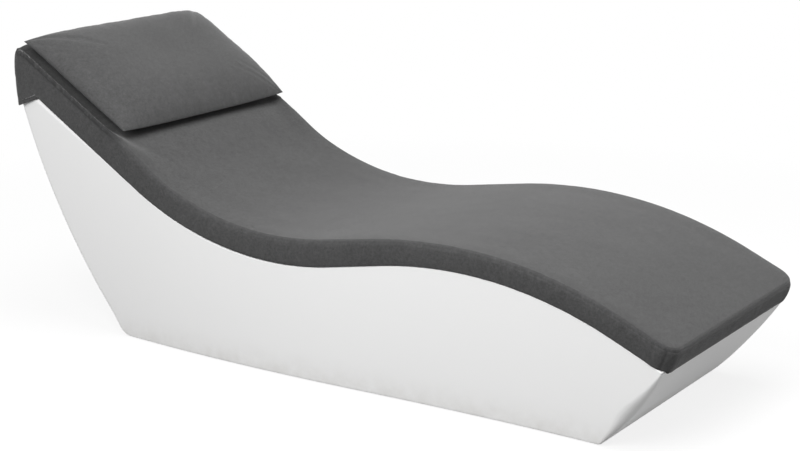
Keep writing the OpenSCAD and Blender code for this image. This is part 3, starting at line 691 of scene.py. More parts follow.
def base_rings(deck, outline):
    """Rings across the base: over the deck, round the edge, down the side and back underneath."""
    b = deck.base
    rate = math.tan(b.lean)
    turns = np.linspace(0, math.pi / 2, 9)
    insets = np.linspace(0, b.foot_edge_radius, 17)
    table = [np.stack(outline.lines(d)) for d in insets]
    low, high = table[0]
    climb = (low[:, 1] - b.stand) / (deck.foot[1] - b.stand)
    ahead = low[:, 0] > deck.front_corner[0] - b.front_toe
    soft = np.interp(climb, [0, 0.36, 0.50, 1], [0, 1, 1, 0])
    behind = low[:, 0] < deck.rear_corner[0] + b.rear_toe
    low_r = np.where(behind, b.edge_radius * (0.2 + 0.8 * smooth_step(climb / 0.3)), b.edge_radius * 0.2)
    low_r = np.where(ahead, low_r + soft * (b.foot_edge_radius - low_r), low_r)
    high_r = b.edge_radius * (1 - 0.8 * smooth_step((high[:, 0] - deck.head[0] - 0.06) / 0.30))

    def inset(line, distance):
        """The lower (0) or deck (1) line, each of its points moved in by its own distance"""
        at = np.clip(distance / insets[1], 0, len(insets) - 1.001)
        k = at.astype(int)
        rows = np.arange(len(at))
        stack = np.stack([level[line] for level in table])
        return stack[k, rows] + (stack[k + 1, rows] - stack[k, rows]) * (at - k)[:, None]

    def half_width(p):
        return b.width / 2 - rate * (deck.height_at(p[:, 0]) - p[:, 1])

    def edge(line, radius):
        made = []
        for turn in turns:
            p = inset(line, (1 - math.cos(turn)) * radius)
            y = half_width(p) - (1 - math.sin(turn)) * radius
            made.append(np.stack([p[:, 0], y, p[:, 1]], -1))
        return made

    columns, low_side = edge(1, high_r), edge(0, low_r)[::-1]
    wear = [0.3 + 0.7 * (1 - abs(2 * (1 - math.sin(turn)) - 0.6)) for turn in turns]
    first = columns[0]
    across = [first * np.array([1, f, 1]) for f in (0, 0.3, 0.6, 0.85, 0.97)]
    wall = [columns[-1] + (low_side[0] - columns[-1]) * t
            for t in (0.012, 0.06, 0.14, 0.26, 0.40, 0.55, 0.70, 0.83, 0.93, 0.985)]
    under = [low_side[-1] * np.array([1, f, 1]) for f in (0.97, 0.85, 0.6, 0.3, 0)]
    right = across + columns + wall + low_side + under
    mark = ([0.0] * 5 + wear + [0.45] + [0.0] * 8 + [0.45] + wear[::-1] + [0.0] * 5)
    left = [c * np.array([1, -1, 1]) for c in right[1:-1]][::-1]
    rings = np.stack(right + left, 1)
    return rings, np.array(mark + mark[1:-1][::-1])


def cutter(name, x, y, z0, z1, radius):
    work = bmesh.new()
    bmesh.ops.create_cone(work, cap_ends=True, segments=64, radius1=radius, radius2=radius,
                          depth=z1 - z0, matrix=Matrix.Translation((x, y, (z0 + z1) / 2)))
    mesh = bpy.data.meshes.new(name)
    work.to_mesh(mesh)
    work.free()
    piece = bpy.data.objects.new(name, mesh)
    bpy.context.scene.collection.objects.link(piece)
    return piece


def make_base_shell():
    deck = DeckLine()
    outline = BaseOutline(deck)
    rings, mark = base_rings(deck, outline)
    rows, cols = rings.shape[:2]
    points = rings.reshape(-1, 3)
    faces = sheet_faces(rows, cols, closed=True)
    half = cols // 2
    for start in (0, (rows - 1) * cols):
        for i in range(half):
            corners = (i, i + 1, (cols - i - 1) % cols, (cols - i) % cols)
            faces.append([start + k for k in dict.fromkeys(corners)])
    piece = new_piece("moulded_base", points, faces, material("shell_plastic"), "base",
                      marks={"wear": np.tile(mark, rows)})
    outward(piece)
    b = deck.base
    x0, x1 = deck.rear_corner[0] + b.pad_setback, deck.front_corner[0] - b.pad_setback
    tools = []
    for x in (x0, (x0 + x1) / 2, x1):
        for side in (-1, 1):
            y = side * b.pad_track / 2
            tools.append(cutter("tool", x, y, -0.001, b.stand + b.pad_depth, b.pad_diameter / 2 + 0.0003))
            tools.append(cutter("tool", x, y, 0.0, b.stand + b.pad_depth + b.insert_length, b.insert_diameter / 2))
    tools.append(cutter("tool", x0, 0, -0.001, b.stand + b.bush_length, b.bush_diameter / 2))
    for tool in tools:
        cut = piece.modifiers.new("recess", "BOOLEAN")
        cut.operation, cut.object, cut.solver = "DIFFERENCE", tool, "EXACT"
    made = bpy.data.meshes.new_from_object(piece.evaluated_get(bpy.context.evaluated_depsgraph_get()))
    piece.modifiers.clear()
    piece.data = made
    for tool in tools:
        bpy.data.objects.remove(tool)
    made.polygons.foreach_set("use_smooth", [True] * len(made.polygons))
    made.set_sharp_from_angle(angle=math.radians(40))
    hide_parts("base_shell")


# ---------------------------------------------------------------- the mattress
RIM = np.array([0, 0.5, 1.2, 2.0, 2.9, 3.8, 4.7, 5.5, 6.2, 7.0, 8.2, 10, 12.5, 15.5, 19, 23, 28, 34]) * MM


class Pad:
    """The mattress: places by distance along it, distance across it and height over the deck."""

    def __init__(self, deck, low=False):
        self.deck, self.m = deck, settings("mattress")
        self.foot_r = self.m.foot_corner_low if low else self.m.foot_corner
        self.start = self.m.cloth
        self.length = deck.length + self.m.reach - self.start
        self.half = self.m.width / 2

    def grid(self, step_long=0.0045, step_wide=0.012):
        """Rows and columns over the plan, packed close to the rim and rounded at the corners."""
        def line(size, step):
            inner = np.linspace(RIM[-1], size - RIM[-1], int((size - 2 * RIM[-1]) / step) + 1)
            return np.concatenate([RIM[:-1], inner, size - RIM[:-1][::-1]])
        d, y = line(self.length, step_long), line(2 * self.half, step_wide) - self.half
        d, y = np.meshgrid(d, y, indexing="ij")
        for near, r in ((True, self.m.head_corner), (False, self.foot_r)):
            a = (r - d) if near else (d - (self.length - r))
            b = np.abs(y) - (self.half - r)
            corner = (a > 0) & (b > 0)
            size = np.hypot(a, b)
            grow = np.where(corner, np.maximum(a, b) / np.maximum(size, 1e-12), 1.0)
            shifted_a, shifted_b = a * grow, b * grow
            d = np.where(corner, (r - shifted_a) if near else (self.length - r + shifted_a), d)
            y = np.where(corner, np.sign(y) * (self.half - r + shifted_b), y)
        return d, y

    def from_rim(self, d, y):
        """Distance inside the plan's outline."""
        best = np.minimum(np.minimum(d, self.length - d), self.half - np.abs(y))
        for near, r in ((True, self.m.head_corner), (False, self.foot_r)):
            a = (r - d) if near else (d - (self.length - r))
            b = np.abs(y) - (self.half - r)
            corner = (a > 0) & (b > 0)
            best = np.where(corner, r - np.hypot(a, b), best)
        return np.maximum(best, 0)

    def tucked(self, d, y):
        """Places near the rim, drawn in with the top seam."""
        step = 1e-4
        to_d = self.from_rim(d + step, y) - self.from_rim(d - step, y)
        to_y = self.from_rim(d, y + step) - self.from_rim(d, y - step)
        move = self.m.tuck * np.exp(-self.from_rim(d, y) / 0.006) / np.maximum(np.hypot(to_d, to_y), 1e-12)
        return d + to_d * move, y + to_y * move

    def swelling(self, d, y):
        """The foam's own rise and fall: it bunches in the hollow and thins over the crest.

        The pillow presses it down, so it stands higher round the pillow's rim.
        """
        along = np.interp(d, [0.30, 0.42, 0.58, 0.84, 0.96, 1.08, 1.20, 1.36, 1.50, 1.75, 2.0],
                          np.array([0, 5, 6, 6, 7, 6, 3, -2, -4, -6, -7]) * MM)
        start = np.interp(d, [0.32, 0.56], [0.325, 0.200])
        stop = np.interp(d, [0.30, 0.42], [0.346, 0.334])
        side = smooth_step((np.abs(y) - start) / (stop - start)) * smooth_step((0.58 - d) / 0.28)
        side = side * (0.35 + 0.65 * smooth_step(d / 0.05))
        end = 0.72 * smooth_step(1 - d / 0.07) * smooth_step((0.34 - np.abs(y)) / 0.05)
        return along + 0.0125 * (1 - (1 - side) * (1 - end))

    def top(self, d, y):
        """Height of the top face: a rolled seam at the rim, a stitch groove, then the crown."""
        e = self.from_rim(d, y)
        crown = self.m.crown * np.cos(np.clip(y / self.half, -1, 1) * math.pi / 2) * np.clip(e / 0.12, 0, 1)
        body = (self.m.thickness + self.swelling(d, y)
                - 0.0024 * (1 - np.clip((e - 0.006) / 0.034, 0, 1) ** 0.6))
        ridge = 0.0004 * np.exp(-((e - 0.0032) / 0.0020) ** 2)
        groove = -0.0002 * np.exp(-((e - 0.0062) / 0.0011) ** 2)
        lip = -0.0074 * np.clip(1 - e / 0.0085, 0, 1) ** 2.0
        return body + crown + ridge + groove + lip

    def low(self, d, y):
        e = self.from_rim(d, y)
        turned_up = 0.0020 * hollow_share(self, d) - 0.0018
        over_edge = smooth_step(1 - (self.length - d + 0.3 * e) / 0.006) * smooth_step(1 - e / 0.006)
        return self.m.lift + turned_up * np.clip(1 - e / 0.012, 0, 1) ** 2 - self.m.foot_hang * over_edge

    def to_space(self, d, y, n):
        p = self.deck.plumb(self.start + d, n, self.start, 4 * self.m.thickness)
        return np.stack([p[..., 0], y, p[..., 1]], -1)

    def outline(self, grid_d, grid_y):
        """The rim of a grid, as one closed loop, with the direction that points out of it."""
        rows, cols = grid_d.shape
        loop = ([(0, j) for j in range(cols)] + [(i, cols - 1) for i in range(1, rows)]
                + [(rows - 1, j) for j in range(cols - 2, -1, -1)]
                + [(i, 0) for i in range(rows - 2, 0, -1)])
        at = np.array(loop)
        d, y = grid_d[at[:, 0], at[:, 1]], grid_y[at[:, 0], at[:, 1]]
        td, ty = np.roll(d, -1) - np.roll(d, 1), np.roll(y, -1) - np.roll(y, 1)
        size = np.hypot(td, ty)
        return d, y, -ty / size, td / size


def smooth_step(x):
    x = np.clip(x, 0, 1)
    return x * x * (3 - 2 * x)


def hollow_share(pad, d):
    """How far into the hollow between backrest and seat a place lies, from 0 to 1."""
    k = pad.deck.knots
    mid, reach = (k[1] + k[2]) / 2, (k[2] - k[1]) * 0.62
    return smooth_step(1 - np.abs(d - mid) / reach)


def make_mattress_cover():
    deck = DeckLine()
    pad = Pad(deck)
    d, y = pad.grid()
    rows, cols = d.shape
    e = pad.from_rim(d, y)
    cloth = material("cover_cloth")
    flat = np.stack([d.ravel(), y.ravel(), np.zeros(d.size)], -1)
    soft = (wobble(flat, 0.16, 1.7) * 0.0010 + wobble(flat, 0.055, 4.2) * 0.00035).reshape(d.shape)
    hollow = hollow_share(pad, d)
    ripple = (wobble(flat * np.array([1, 0.16, 1]), 0.019, 7.7)).reshape(d.shape)
    gather = (wobble(flat * np.array([1, 0.16, 1]), 0.0075, 3.9)).reshape(d.shape)
    beside = smooth_step((0.40 - d) / 0.08) * (np.abs(y) > 0.2)
    pucker = (ripple * np.exp(-e / 0.016) * (0.00042 + 0.0008 * hollow)
              + gather * np.exp(-e / 0.018) * 0.0060 * beside)
    ease = np.clip(e / 0.02, 0, 1)
    n = pad.top(d, y) + soft * ease + pucker * np.clip(e / 0.004, 0, 1)
    top = pad.to_space(*pad.tucked(d, y), n)
    # Painted shade: a touch darker in the stitch groove and at the very rim, and deep painted shade beside the
    # pillow, eased where the gathers stand up into the light.
    seam = np.exp(-((e - 0.0062) / 0.0009) ** 2) * 0.12 + np.clip(1 - e / 0.0008, 0, 1) * 0.10
    fringe = np.clip(gather * 2, 0, 1) * np.exp(-e / 0.012)
    seam = seam + 1.7 * beside * np.exp(-e / 0.045) * (1 - 0.85 * fringe)
    ridge = np.exp(-((e - 0.0032) / 0.0016) ** 2)
    new_piece("mattress_top_panel_cover", top.reshape(-1, 3), sheet_faces(rows, cols, flip=True), cloth,
              "mattress", ["mattress_top_panel"],
              marks={"seam": seam.ravel(), "wear": ridge.ravel() * 0.3, "along": d.ravel(), "across": y.ravel()})
    pad_low = Pad(deck, low=True)
    low_d, low_y = pad_low.grid()
    under = pad_low.to_space(low_d, low_y, pad_low.low(low_d, low_y) + 0.0004 * np.abs(soft) / 0.001)
    # Painted shade along the bottom panel's rim, under the mattress's edge.
    new_piece("mattress_bottom_panel_cover", under.reshape(-1, 3), sheet_faces(rows, cols), cloth,
              "mattress", ["mattress_bottom_panel"],
              marks={"seam": np.exp(-e / 0.002).ravel(), "along": low_d.ravel(), "across": low_y.ravel()})
    make_side_band(pad, d, y, cloth)
    make_foam(pad)


def make_side_band(pad, grid_d, grid_y, cloth):
    """The side band, gathered a little along both seams and more where the mattress bends."""
    d, y, out_d, out_y = pad.outline(grid_d, grid_y)
    count = len(d)
    step = np.hypot(np.diff(np.append(d, d[0])), np.diff(np.append(y, y[0])))
    along = np.concatenate([[0], np.cumsum(step)[:-1]])
    shares = np.array([0, 0.012, 0.03, 0.06, 0.10, 0.16, 0.24, 0.33, 0.43, 0.53, 0.63, 0.73,
                       0.82, 0.89, 0.94, 0.97, 0.988, 1.0])
    high, low = pad.top(d, y), pad.low(d, y)
    hollow = hollow_share(pad, d)
    wave_a = wobble(np.stack([along, np.zeros(count), np.zeros(count)], -1), 0.011, 2.3)
    wave_b = wobble(np.stack([along, np.zeros(count), np.zeros(count)], -1), 0.030, 9.1)
    wave_c = wobble(np.stack([along, np.zeros(count), np.zeros(count)], -1), 0.009, 5.9)
    taut = smooth_step((d - 0.02) / 0.06)
    head = smooth_step(1 - d / 0.04)
    over_hood = smooth_step((0.13 - d) / 0.03)
    spread = np.where(d > pad.length / 2, np.abs(out_d) + np.abs(out_y) - 1, 0) * (
        pad.m.foot_corner - pad.m.foot_corner_low)
    rings, painted_shade_rows, heights = [], [], []
    for w in shares:
        n = low + (high - low) * w
        bulge = pad.m.swell * (math.sin(math.pi * w) ** 0.7 if 0 < w < 1 else 0) - pad.m.tuck * w ** 14
        near_top, near_low = np.exp(-(1 - w) / 0.16), np.exp(-w / 0.16)
        ruck = (wave_a * (0.00085 + 0.0007 * hollow) * near_top * (w < 1)
                + wave_c * 0.0006 * near_low
                + wave_b * (0.0010 + 0.0012 * hollow) * math.sin(math.pi * w) ** 0.6) * taut
        seam_in = 0.0004 * (1 - over_hood) * np.exp(-(w / 0.014) ** 2)
        corner = corner_fold(pad, d) * -0.0014
        move = bulge + ruck + seam_in + corner + spread * (1 - w) ** 0.7 + head * 0.0030 * (1 - w) ** 1.3
        rings.append(pad.to_space(d + out_d * move, y + out_y * move, n))
        # Painted shade: darker at the top seam, at the upright corner folds, along the lower edge as a painted
        # shadow gap over the base (deepest in the hollow), and at the top beside the pillow.
        painted_shade_rows.append(np.full(count, 0.10 * math.exp(-(1 - w) / 0.02)) + corner_fold(pad, d) * 0.9
                     + math.exp(-w / 0.05) * (0.05 + (0.7 + 0.9 * hollow) * (1 - over_hood))
                     + math.exp(-(1 - w) / 0.05) * smooth_step((0.40 - d) / 0.08) * 1.7)
        heights.append(n)
    points = np.concatenate(rings)
    faces = sheet_faces(len(shares), count, closed=True, flip=True)
    new_piece("mattress_side_band_cover", points, faces, cloth, "mattress", ["mattress_side_band"],
              marks={"seam": np.concatenate(painted_shade_rows), "along": np.tile(along, len(shares)),
                                    "across": np.concatenate(heights)})


def corner_fold(pad, d):
    """The upright seams that close the side band, just round the foot corners."""
    mid = pad.length - pad.m.foot_corner * 0.42
    return np.exp(-((d - mid) / 0.0030) ** 2)


def make_foam(pad):
    d, y = pad.grid(0.03, 0.05)
    rows, cols = d.shape
    shrink = 0.0034
    sd = shrink + d * (pad.length - 2 * shrink) / pad.length
    sy = y * (pad.half - shrink) / pad.half
    top = pad.to_space(sd, sy, np.minimum(pad.top(d, y), pad.m.thickness + pad.m.crown) - 0.0035)
    low = pad.to_space(sd, sy, pad.low(d, y) + 0.0018)
    count = rows * cols
    points = np.concatenate([top.reshape(-1, 3), low.reshape(-1, 3)])
    faces = sheet_faces(rows, cols, flip=True) + sheet_faces(rows, cols, start=count)
    loop = ([j for j in range(cols)] + [i * cols + cols - 1 for i in range(1, rows)]
            + [(rows - 1) * cols + j for j in range(cols - 2, -1, -1)]
            + [i * cols for i in range(rows - 2, 0, -1)])
    faces += [(a, b, b + count, a + count) for a, b in zip(loop, loop[1:] + loop[:1])]
    piece = new_piece("mattress_foam_core", points, faces, material("foam"), "mattress",
                      ["mattress_foam"])
    outward(piece)


def make_seam_threads():
    """Topstitching inside the mattress's rolled seam; the gathers beside the pillow bury it."""
    deck = DeckLine()
    pad = Pad(deck)
    d, y = pad.grid(0.012, 0.02)
    od, oy, nd, ny = pad.outline(d, y)
    inset, buried, head_row = 0.0062, 0.42, 0.02
    # The line is the plan's outline moved inwards
    di, yi = od - nd * inset, oy - ny * inset
    drawn_in = pad.tucked(di, yi)
    line = pad.to_space(*drawn_in, pad.top(di, yi))
    above = pad.to_space(*drawn_in, pad.top(di, yi) + 0.01)
    for name, keep in (("mattress_topstitch", di > buried), ("mattress_head_topstitch", di < head_row)):
        points, faces = stitch_row(line[keep], (above - line)[keep], 0.0048, 0.0036, 0.0003, 0.0003)
        new_piece(name, points, faces, material("thread"), "mattress")


def make_pocket():
    """The hood of cloth round the head end of the base, with a folded and sewn hem"""
    deck, m = DeckLine(), settings("mattress")
    outline = BaseOutline(deck)
    b, out = deck.base, m.pocket_gap + m.cloth
    r, half = m.head_corner, m.width / 2
    reach = (m.pocket_depth + r * math.tan(m.hem_rise)) / (math.tan(deck.slope) + math.tan(m.hem_rise))
    side = [(run, half) for run in np.linspace(reach, r, 42)[:-1]]
    bend = [(r * (1 - math.sin(a)), half - r * (1 - math.cos(a))) for a in np.linspace(0, math.pi / 2, 14)]
    back = [(0.0, y) for y in np.linspace(half - r, 0, 60)[1:]]
    one = np.array(side + bend + back)
    plan = np.concatenate([one * (1, -1), one[-2::-1]])
    run, y = plan[:, 0], plan[:, 1]
    turn = np.gradient(plan, axis=0)
    turn /= np.linalg.norm(turn, axis=1)[:, None]
    out_run, out_y = turn[:, 1], -turn[:, 0]
    if out_run[len(run) // 2] > 0:
        out_run, out_y = -out_run, -out_y
    along = np.concatenate([[0], np.cumsum(np.linalg.norm(np.diff(plan, axis=0), axis=1))])
    zero = np.zeros(len(run))
    wave = wobble(np.stack([along, zero, zero], -1), 0.045, 3.3)
    fine = wobble(np.stack([along, zero, zero], -1), 0.013, 6.1)
    high = deck.head[1] - run * math.tan(deck.slope) + 0.0072
    hem_height = np.maximum(run - r, 0) * math.tan(m.hem_rise) + wave * 0.0006
    low = np.minimum(high - 0.0015, deck.head[1] - m.pocket_depth + hem_height)

    def ring(z, move):
        """The pocket's plan at heights z, moved outwards"""
        top = np.minimum(z, deck.head[1])
        face = outline.rear[0] - np.sqrt(b.rear_radius ** 2 - (outline.rear[1] - top) ** 2) - out
        start = deck.head[0] - out
        ease = np.clip(1 - run / r, 0, 1)
        x = start + run + (face - start) * ease
        return np.stack([x + out_run * move, y + out_y * move, z], -1)

    tall = high - low
    hem, rows, heights, painted_shade_rows = 0.010, [], [], []
    outer = [0.0, 0.0008, 0.0022, 0.0045, 0.0072, 0.0086, 0.0100, 0.0125]
    for k in list(outer) + list(np.linspace(0.2, 1.0, 14)):
        z = low + (np.minimum(k, tall * k / 0.0130 * 0.9) if k <= 0.0125 else tall * k)
        lift = (z - low)
        fold = 0.0009 * np.clip(1 - (lift - hem) / 0.0015, 0, 1) * np.clip(lift / 0.001, 0.2, 1)
        stitched = -0.0007 * np.exp(-((lift - 0.0082) / 0.0008) ** 2)
        belly = np.sin(np.pi * np.clip(lift / tall, 0, 1))
        body = belly * (0.0016 + wave * 0.0011) + fine * 0.0004 * (1 - np.clip(lift / tall, 0, 1))
        tuck = -0.0004 * np.clip((lift / tall - 0.93) / 0.07, 0, 1) ** 1.5
        thin = np.clip(tall / 0.012, 0, 1)
        rows.append(ring(z, (fold + stitched + body) * thin + tuck))
        heights.append(z)
        # Painted shade in the hem's stitched groove and just under the hood's top edge.
        painted_shade_rows.append(0.5 * np.exp(-((lift - 0.0082) / 0.0007) ** 2) + 0.1 * np.exp(-(high - z) / 0.0012))
    inner = [p - np.stack([out_run, out_y, zero], -1) * m.cloth for p in rows[::-1]]
    rings = np.stack(rows + inner, 1)
    count, cols = rings.shape[:2]
    faces = sheet_faces(count, cols, closed=True)
    faces += [tuple(range(cols))[::-1], tuple(range((count - 1) * cols, count * cols))]
    marks = {"seam": np.stack(painted_shade_rows + painted_shade_rows[::-1], 1).ravel(),
             "along": np.repeat(along, cols), "across": np.stack(heights + heights[::-1], 1).ravel()}
    piece = new_piece("head_pocket_hood", rings.reshape(-1, 3), faces, material("cover_cloth"),
                      "mattress", ["head_pocket"], marks=marks)
    outward(piece)
    float((tall * np.gradient(along)).sum())
    keep = (tall > 0.014) & (run > 0.004)
    line = ring(low + 0.0082, 0.0009 - 0.0005)[keep]
    normal = np.stack([out_run, out_y, zero], -1)[keep]
    points, faces = stitch_row(line, normal, 0.0048, 0.0036, 0.0004, 0.0004)
    new_piece("head_pocket_hem_stitch", points, faces, material("thread"), "mattress")


# ---------------------------------------------------------------- the pillow
class PillowForm:
    """The pillow in its own frame: u down the backrest, v across and w out of it."""

    def __init__(self, deck):
        self.p, self.deck = settings("pillow"), deck
        m = settings("mattress")
        self.floor = m.thickness + m.crown + 2 * 0.0011 + 2 * 0.0003
        down = np.array([math.cos(deck.slope), -math.sin(deck.slope)])
        up = np.array([math.sin(deck.slope), math.cos(deck.slope)])
        self.down, self.up = down, up
        self.centre = (deck.head + down * (self.p.length / 2 - self.p.past)
                       + up * (self.floor + self.p.depth))

    def full(self, u, v):
        """Fullness of the upper panel, from 0 at the seam to 1; its near side is the slimmer one"""
        ends = np.where(u > 0, np.clip(1 - np.abs(u) ** 3.4, 0, 1) ** 0.72,
                        np.clip(1 - np.abs(u) ** 4, 0, 1) ** 0.44)
        near = np.clip(1 - np.abs(v) ** 5, 0, 1) ** 0.62
        far = np.clip(1 - np.abs(v) ** 6, 0, 1) ** 0.42
        return ends * np.where(v < 0, near, far)

    def full_low(self, u, v):
        """Fullness of the lower panel, which runs in under the seam before it fills out"""
        return smooth_step((1 - np.abs(u)) / 0.24) * smooth_step((1 - np.abs(v)) / 0.15)

    def plan(self, u, v, inset=0.0):
        p = self.p
        tip = np.clip((-u * 0.5 + 0.5) * (v * 0.5 + 0.5), 0, 1) ** 14 * 0.008
        drawn = p.draw * (1 - np.abs(v) ** 4) * np.where(u > 0, 1 - 1.2 * np.abs(u), 1)
        long = u * (p.length / 2 - inset - drawn) + tip
        pull = np.where(v < 0, p.near_draw, p.draw)
        wide = v * (p.width / 2 - inset - pull * (1 - np.abs(u) ** 4)) - tip
        wide = wide + 0.006 * np.clip(v, 0, 1) ** 3 * np.clip(-u, 0, 1)
        return long, wide

    def sag(self, u, v):
        """The tips hang a little, most of all the two past the head end."""
        p = self.p
        tips = (0.003 + 0.006 * np.clip(-u, 0, 1)) * np.abs(u * v) ** 5
        low_end = 0.008 * np.clip(u, 0, 1) ** 5 * (1 - np.abs(v) ** 4)
        return -tips - low_end - p.near_sag * np.clip(-v, 0, 1) ** 6 * (1 - np.abs(u) ** 4)

    def to_space(self, local):
        local = np.asarray(local)
        x = self.centre[0] + local[..., 0] * self.down[0] + local[..., 2] * self.up[0]
        z = self.centre[1] + local[..., 0] * self.down[1] + local[..., 2] * self.up[1]
        return np.stack([x, local[..., 1], z], -1)


def pillow_mesh(form, rows, cols, scale=(1.0, 1.0), inset=0.0, puckers=1.0):
    """A closed pillow as local points and faces. The rim's points belong to both panels."""
    u = np.sin(np.linspace(-1, 1, rows) * math.pi / 2)
    v = np.sin(np.linspace(-1, 1, cols) * math.pi / 2)
    u, v = np.meshgrid(u, v, indexing="ij")
    long, wide = form.plan(u, v, inset)
    full = form.full(u, v)
    half_l, half_w = form.p.length / 2, form.p.width / 2
    from_end, from_side = half_l * (1 - np.abs(u)), half_w * (1 - np.abs(v))
    flat = np.stack([long.ravel(), wide.ravel(), np.zeros(u.size)], -1)
    slow = wobble(flat, 0.11, 8.4).reshape(u.shape)
    end_streaks = wobble(flat * (0.12, 1, 1), 0.013, 1.2).reshape(u.shape)
    side_streaks = wobble(flat * (1, 0.12, 1), 0.013, 5.5).reshape(u.shape)
    streaks = end_streaks * np.exp(-from_end / 0.020) + side_streaks * np.exp(-from_side / 0.020)
    high = (form.p.rise - inset * 0.35) * scale[0] * full
    full_low = form.full_low(u, v)
    low = -(form.p.depth - inset * 0.35) * scale[1] * full_low
    ease, ease_low = np.clip(full * 2.2, 0, 1), np.clip(full_low * 4, 0, 1)
    high = high + (slow * 0.0018 + streaks * 0.0026 * puckers) * ease
    low = low - (slow[::-1] * 0.0010 + streaks[::-1, ::-1] * 0.0046 * puckers) * ease_low
    rim = np.zeros(u.shape, bool)
    rim[0, :] = rim[-1, :] = rim[:, 0] = rim[:, -1] = True
    sag = form.sag(u, v)
    top = np.stack([long, wide, np.where(rim, 0, high) + sag], -1).reshape(-1, 3)
    low_all = np.stack([long, wide, low + sag * (1 - full_low)], -1).reshape(-1, 3)
    inner = np.where(~rim.ravel())[0]
    second = np.arange(u.size)
    second[inner] = u.size + np.arange(len(inner))
    points = np.concatenate([top, low_all[inner]])
    quads = sheet_faces(rows, cols)
    faces = [f[::-1] for f in quads] + [tuple(int(second[i]) for i in f) for f in quads]
    near = np.minimum(from_end, from_side).ravel()
    near = np.concatenate([near, near[inner]])
    return points, faces, near


def inflate(points, faces, pressure, frames, hold):
    """Blows a sewn cover up by cloth simulation and returns where its points come to rest."""
    mesh = bpy.data.meshes.new("blown_cover")
    mesh.from_pydata([tuple(p) for p in points], [], faces)
    mesh.update()
    cover = bpy.data.objects.new("blown_cover", mesh)
    scene = bpy.context.scene
    scene.collection.objects.link(cover)
    # The vertex group holds the seam's points, pinned while the cover blows up.
    group = cover.vertex_groups.new(name="seam")
    for k in np.where(hold > 0)[0]:
        group.add([int(k)], float(hold[k]), "REPLACE")
    cloth = cover.modifiers.new("cloth", "CLOTH")
    s = cloth.settings
    s.quality, s.mass, s.air_damping = 8, 0.25, 2.0
    s.tension_stiffness = s.compression_stiffness = 18
    s.shear_stiffness, s.bending_stiffness = 6, 0.6
    s.use_pressure, s.uniform_pressure_force = True, pressure
    s.effector_weights.gravity = 0
    s.vertex_group_mass, s.pin_stiffness = "seam", 0.4
    cloth.collision_settings.use_self_collision = False
    cloth.point_cache.frame_start, cloth.point_cache.frame_end = 1, frames + 1
    for frame_number in range(1, frames + 1):
        scene.frame_set(frame_number)
    blown = cover.evaluated_get(bpy.context.evaluated_depsgraph_get())
    places = np.zeros(len(points) * 3)
    blown.data.vertices.foreach_get("co", places)
    scene.frame_set(1)
    bpy.data.objects.remove(cover)
    return places.reshape(-1, 3)


def folds_only(moved, rows, cols, rim):
    """What is left of a movement once its slow part, a low polynomial over the panel, is taken out"""
    u = np.sin(np.linspace(-1, 1, rows) * math.pi / 2)
    v = np.sin(np.linspace(-1, 1, cols) * math.pi / 2)
    u, v = np.meshgrid(u, v, indexing="ij")
    terms = np.polynomial.chebyshev.chebvander2d(u.ravel(), v.ravel(), (6, 8))
    inner = ~rim
    left = np.empty_like(moved)
    size = rows * cols
    second = np.concatenate([moved[:size][rim], moved[size:]])
    order = np.concatenate([np.where(rim)[0], np.where(inner)[0]])
    for part, at in ((moved[:size], np.arange(size)), (second, order)):
        fit, *_ = np.linalg.lstsq(terms[at], part, rcond=None)
        rest = part - terms[at] @ fit
        if part is second:
            left[size:] = rest[rim.sum():]
        else:
            left[:size] = rest
    return left


def make_pillow():
    deck = DeckLine()
    form = PillowForm(deck)
    rows, cols = 72, 116
    points, faces, near = pillow_mesh(form, rows, cols)
    start, _, _ = pillow_mesh(form, rows, cols, scale=(0.86, 0.86), puckers=1.4)
    rest = inflate(start, faces, 5.0, 22, (near < 1e-6) * 1.0)
    folds = folds_only(rest - start, rows, cols, near[:rows * cols] < 1e-6)
    upper = np.where(np.arange(len(points)) < rows * cols, 0.0010, 0.0028)
    limit = np.where(near < 1e-6, 0.0016, upper)[:, None]
    points = points + limit * np.tanh(folds * 0.5 / limit)
    under = np.arange(len(points)) >= rows * cols
    # Painted shade: the lower panel darkens within some 30 mm of the seam, where it hangs over the mattress; the
    # upper panel only in a thin line along the seam.
    seam = np.exp(-near / np.where(under, 0.030, 0.0011))
    # Painted light: the whole upper panel is lightened, most in a band 10 to 50 mm in from the seam; the lower panel
    # is not.
    wear = (np.clip(1 - np.abs(near - 0.030) / 0.02, 0, 1) * 0.35 + 0.7) * (points[:, 2] > 0)
    piece = new_piece("pillow_cover", form.to_space(points), faces, material("cover_cloth"), "pillow",
                      ["pillow_top_panel", "pillow_bottom_panel"],
                      marks={"seam": seam, "wear": wear, "along": points[:, 0], "across": points[:, 1]})
    outward(piece)
    smoother = piece.modifiers.new("fine", "SUBSURF")
    smoother.levels = smoother.render_levels = 1
    mark_crease(piece, near)
    core, core_faces, core_near = pillow_mesh(form, 30, 46, scale=(0.93, 0.93), inset=0.007, puckers=0.0)
    fill = new_piece("pillow_fibre_core", form.to_space(core), core_faces, material("fill_fibre"),
                     "pillow", ["pillow_fill"])
    outward(fill)


def mark_crease(piece, near):
    """Keeps the seam sharp when the surface is smoothed."""
    mesh = piece.data
    crease = mesh.attributes.new("crease_edge", "FLOAT", "EDGE")
    rim = near < 1e-6
    ends = np.zeros(len(mesh.edges) * 2, np.int32)
    mesh.edges.foreach_get("vertices", ends)
    ends = ends.reshape(-1, 2)
    crease.data.foreach_set("value", (rim[ends[:, 0]] & rim[ends[:, 1]]).astype(np.float32) * 0.85)


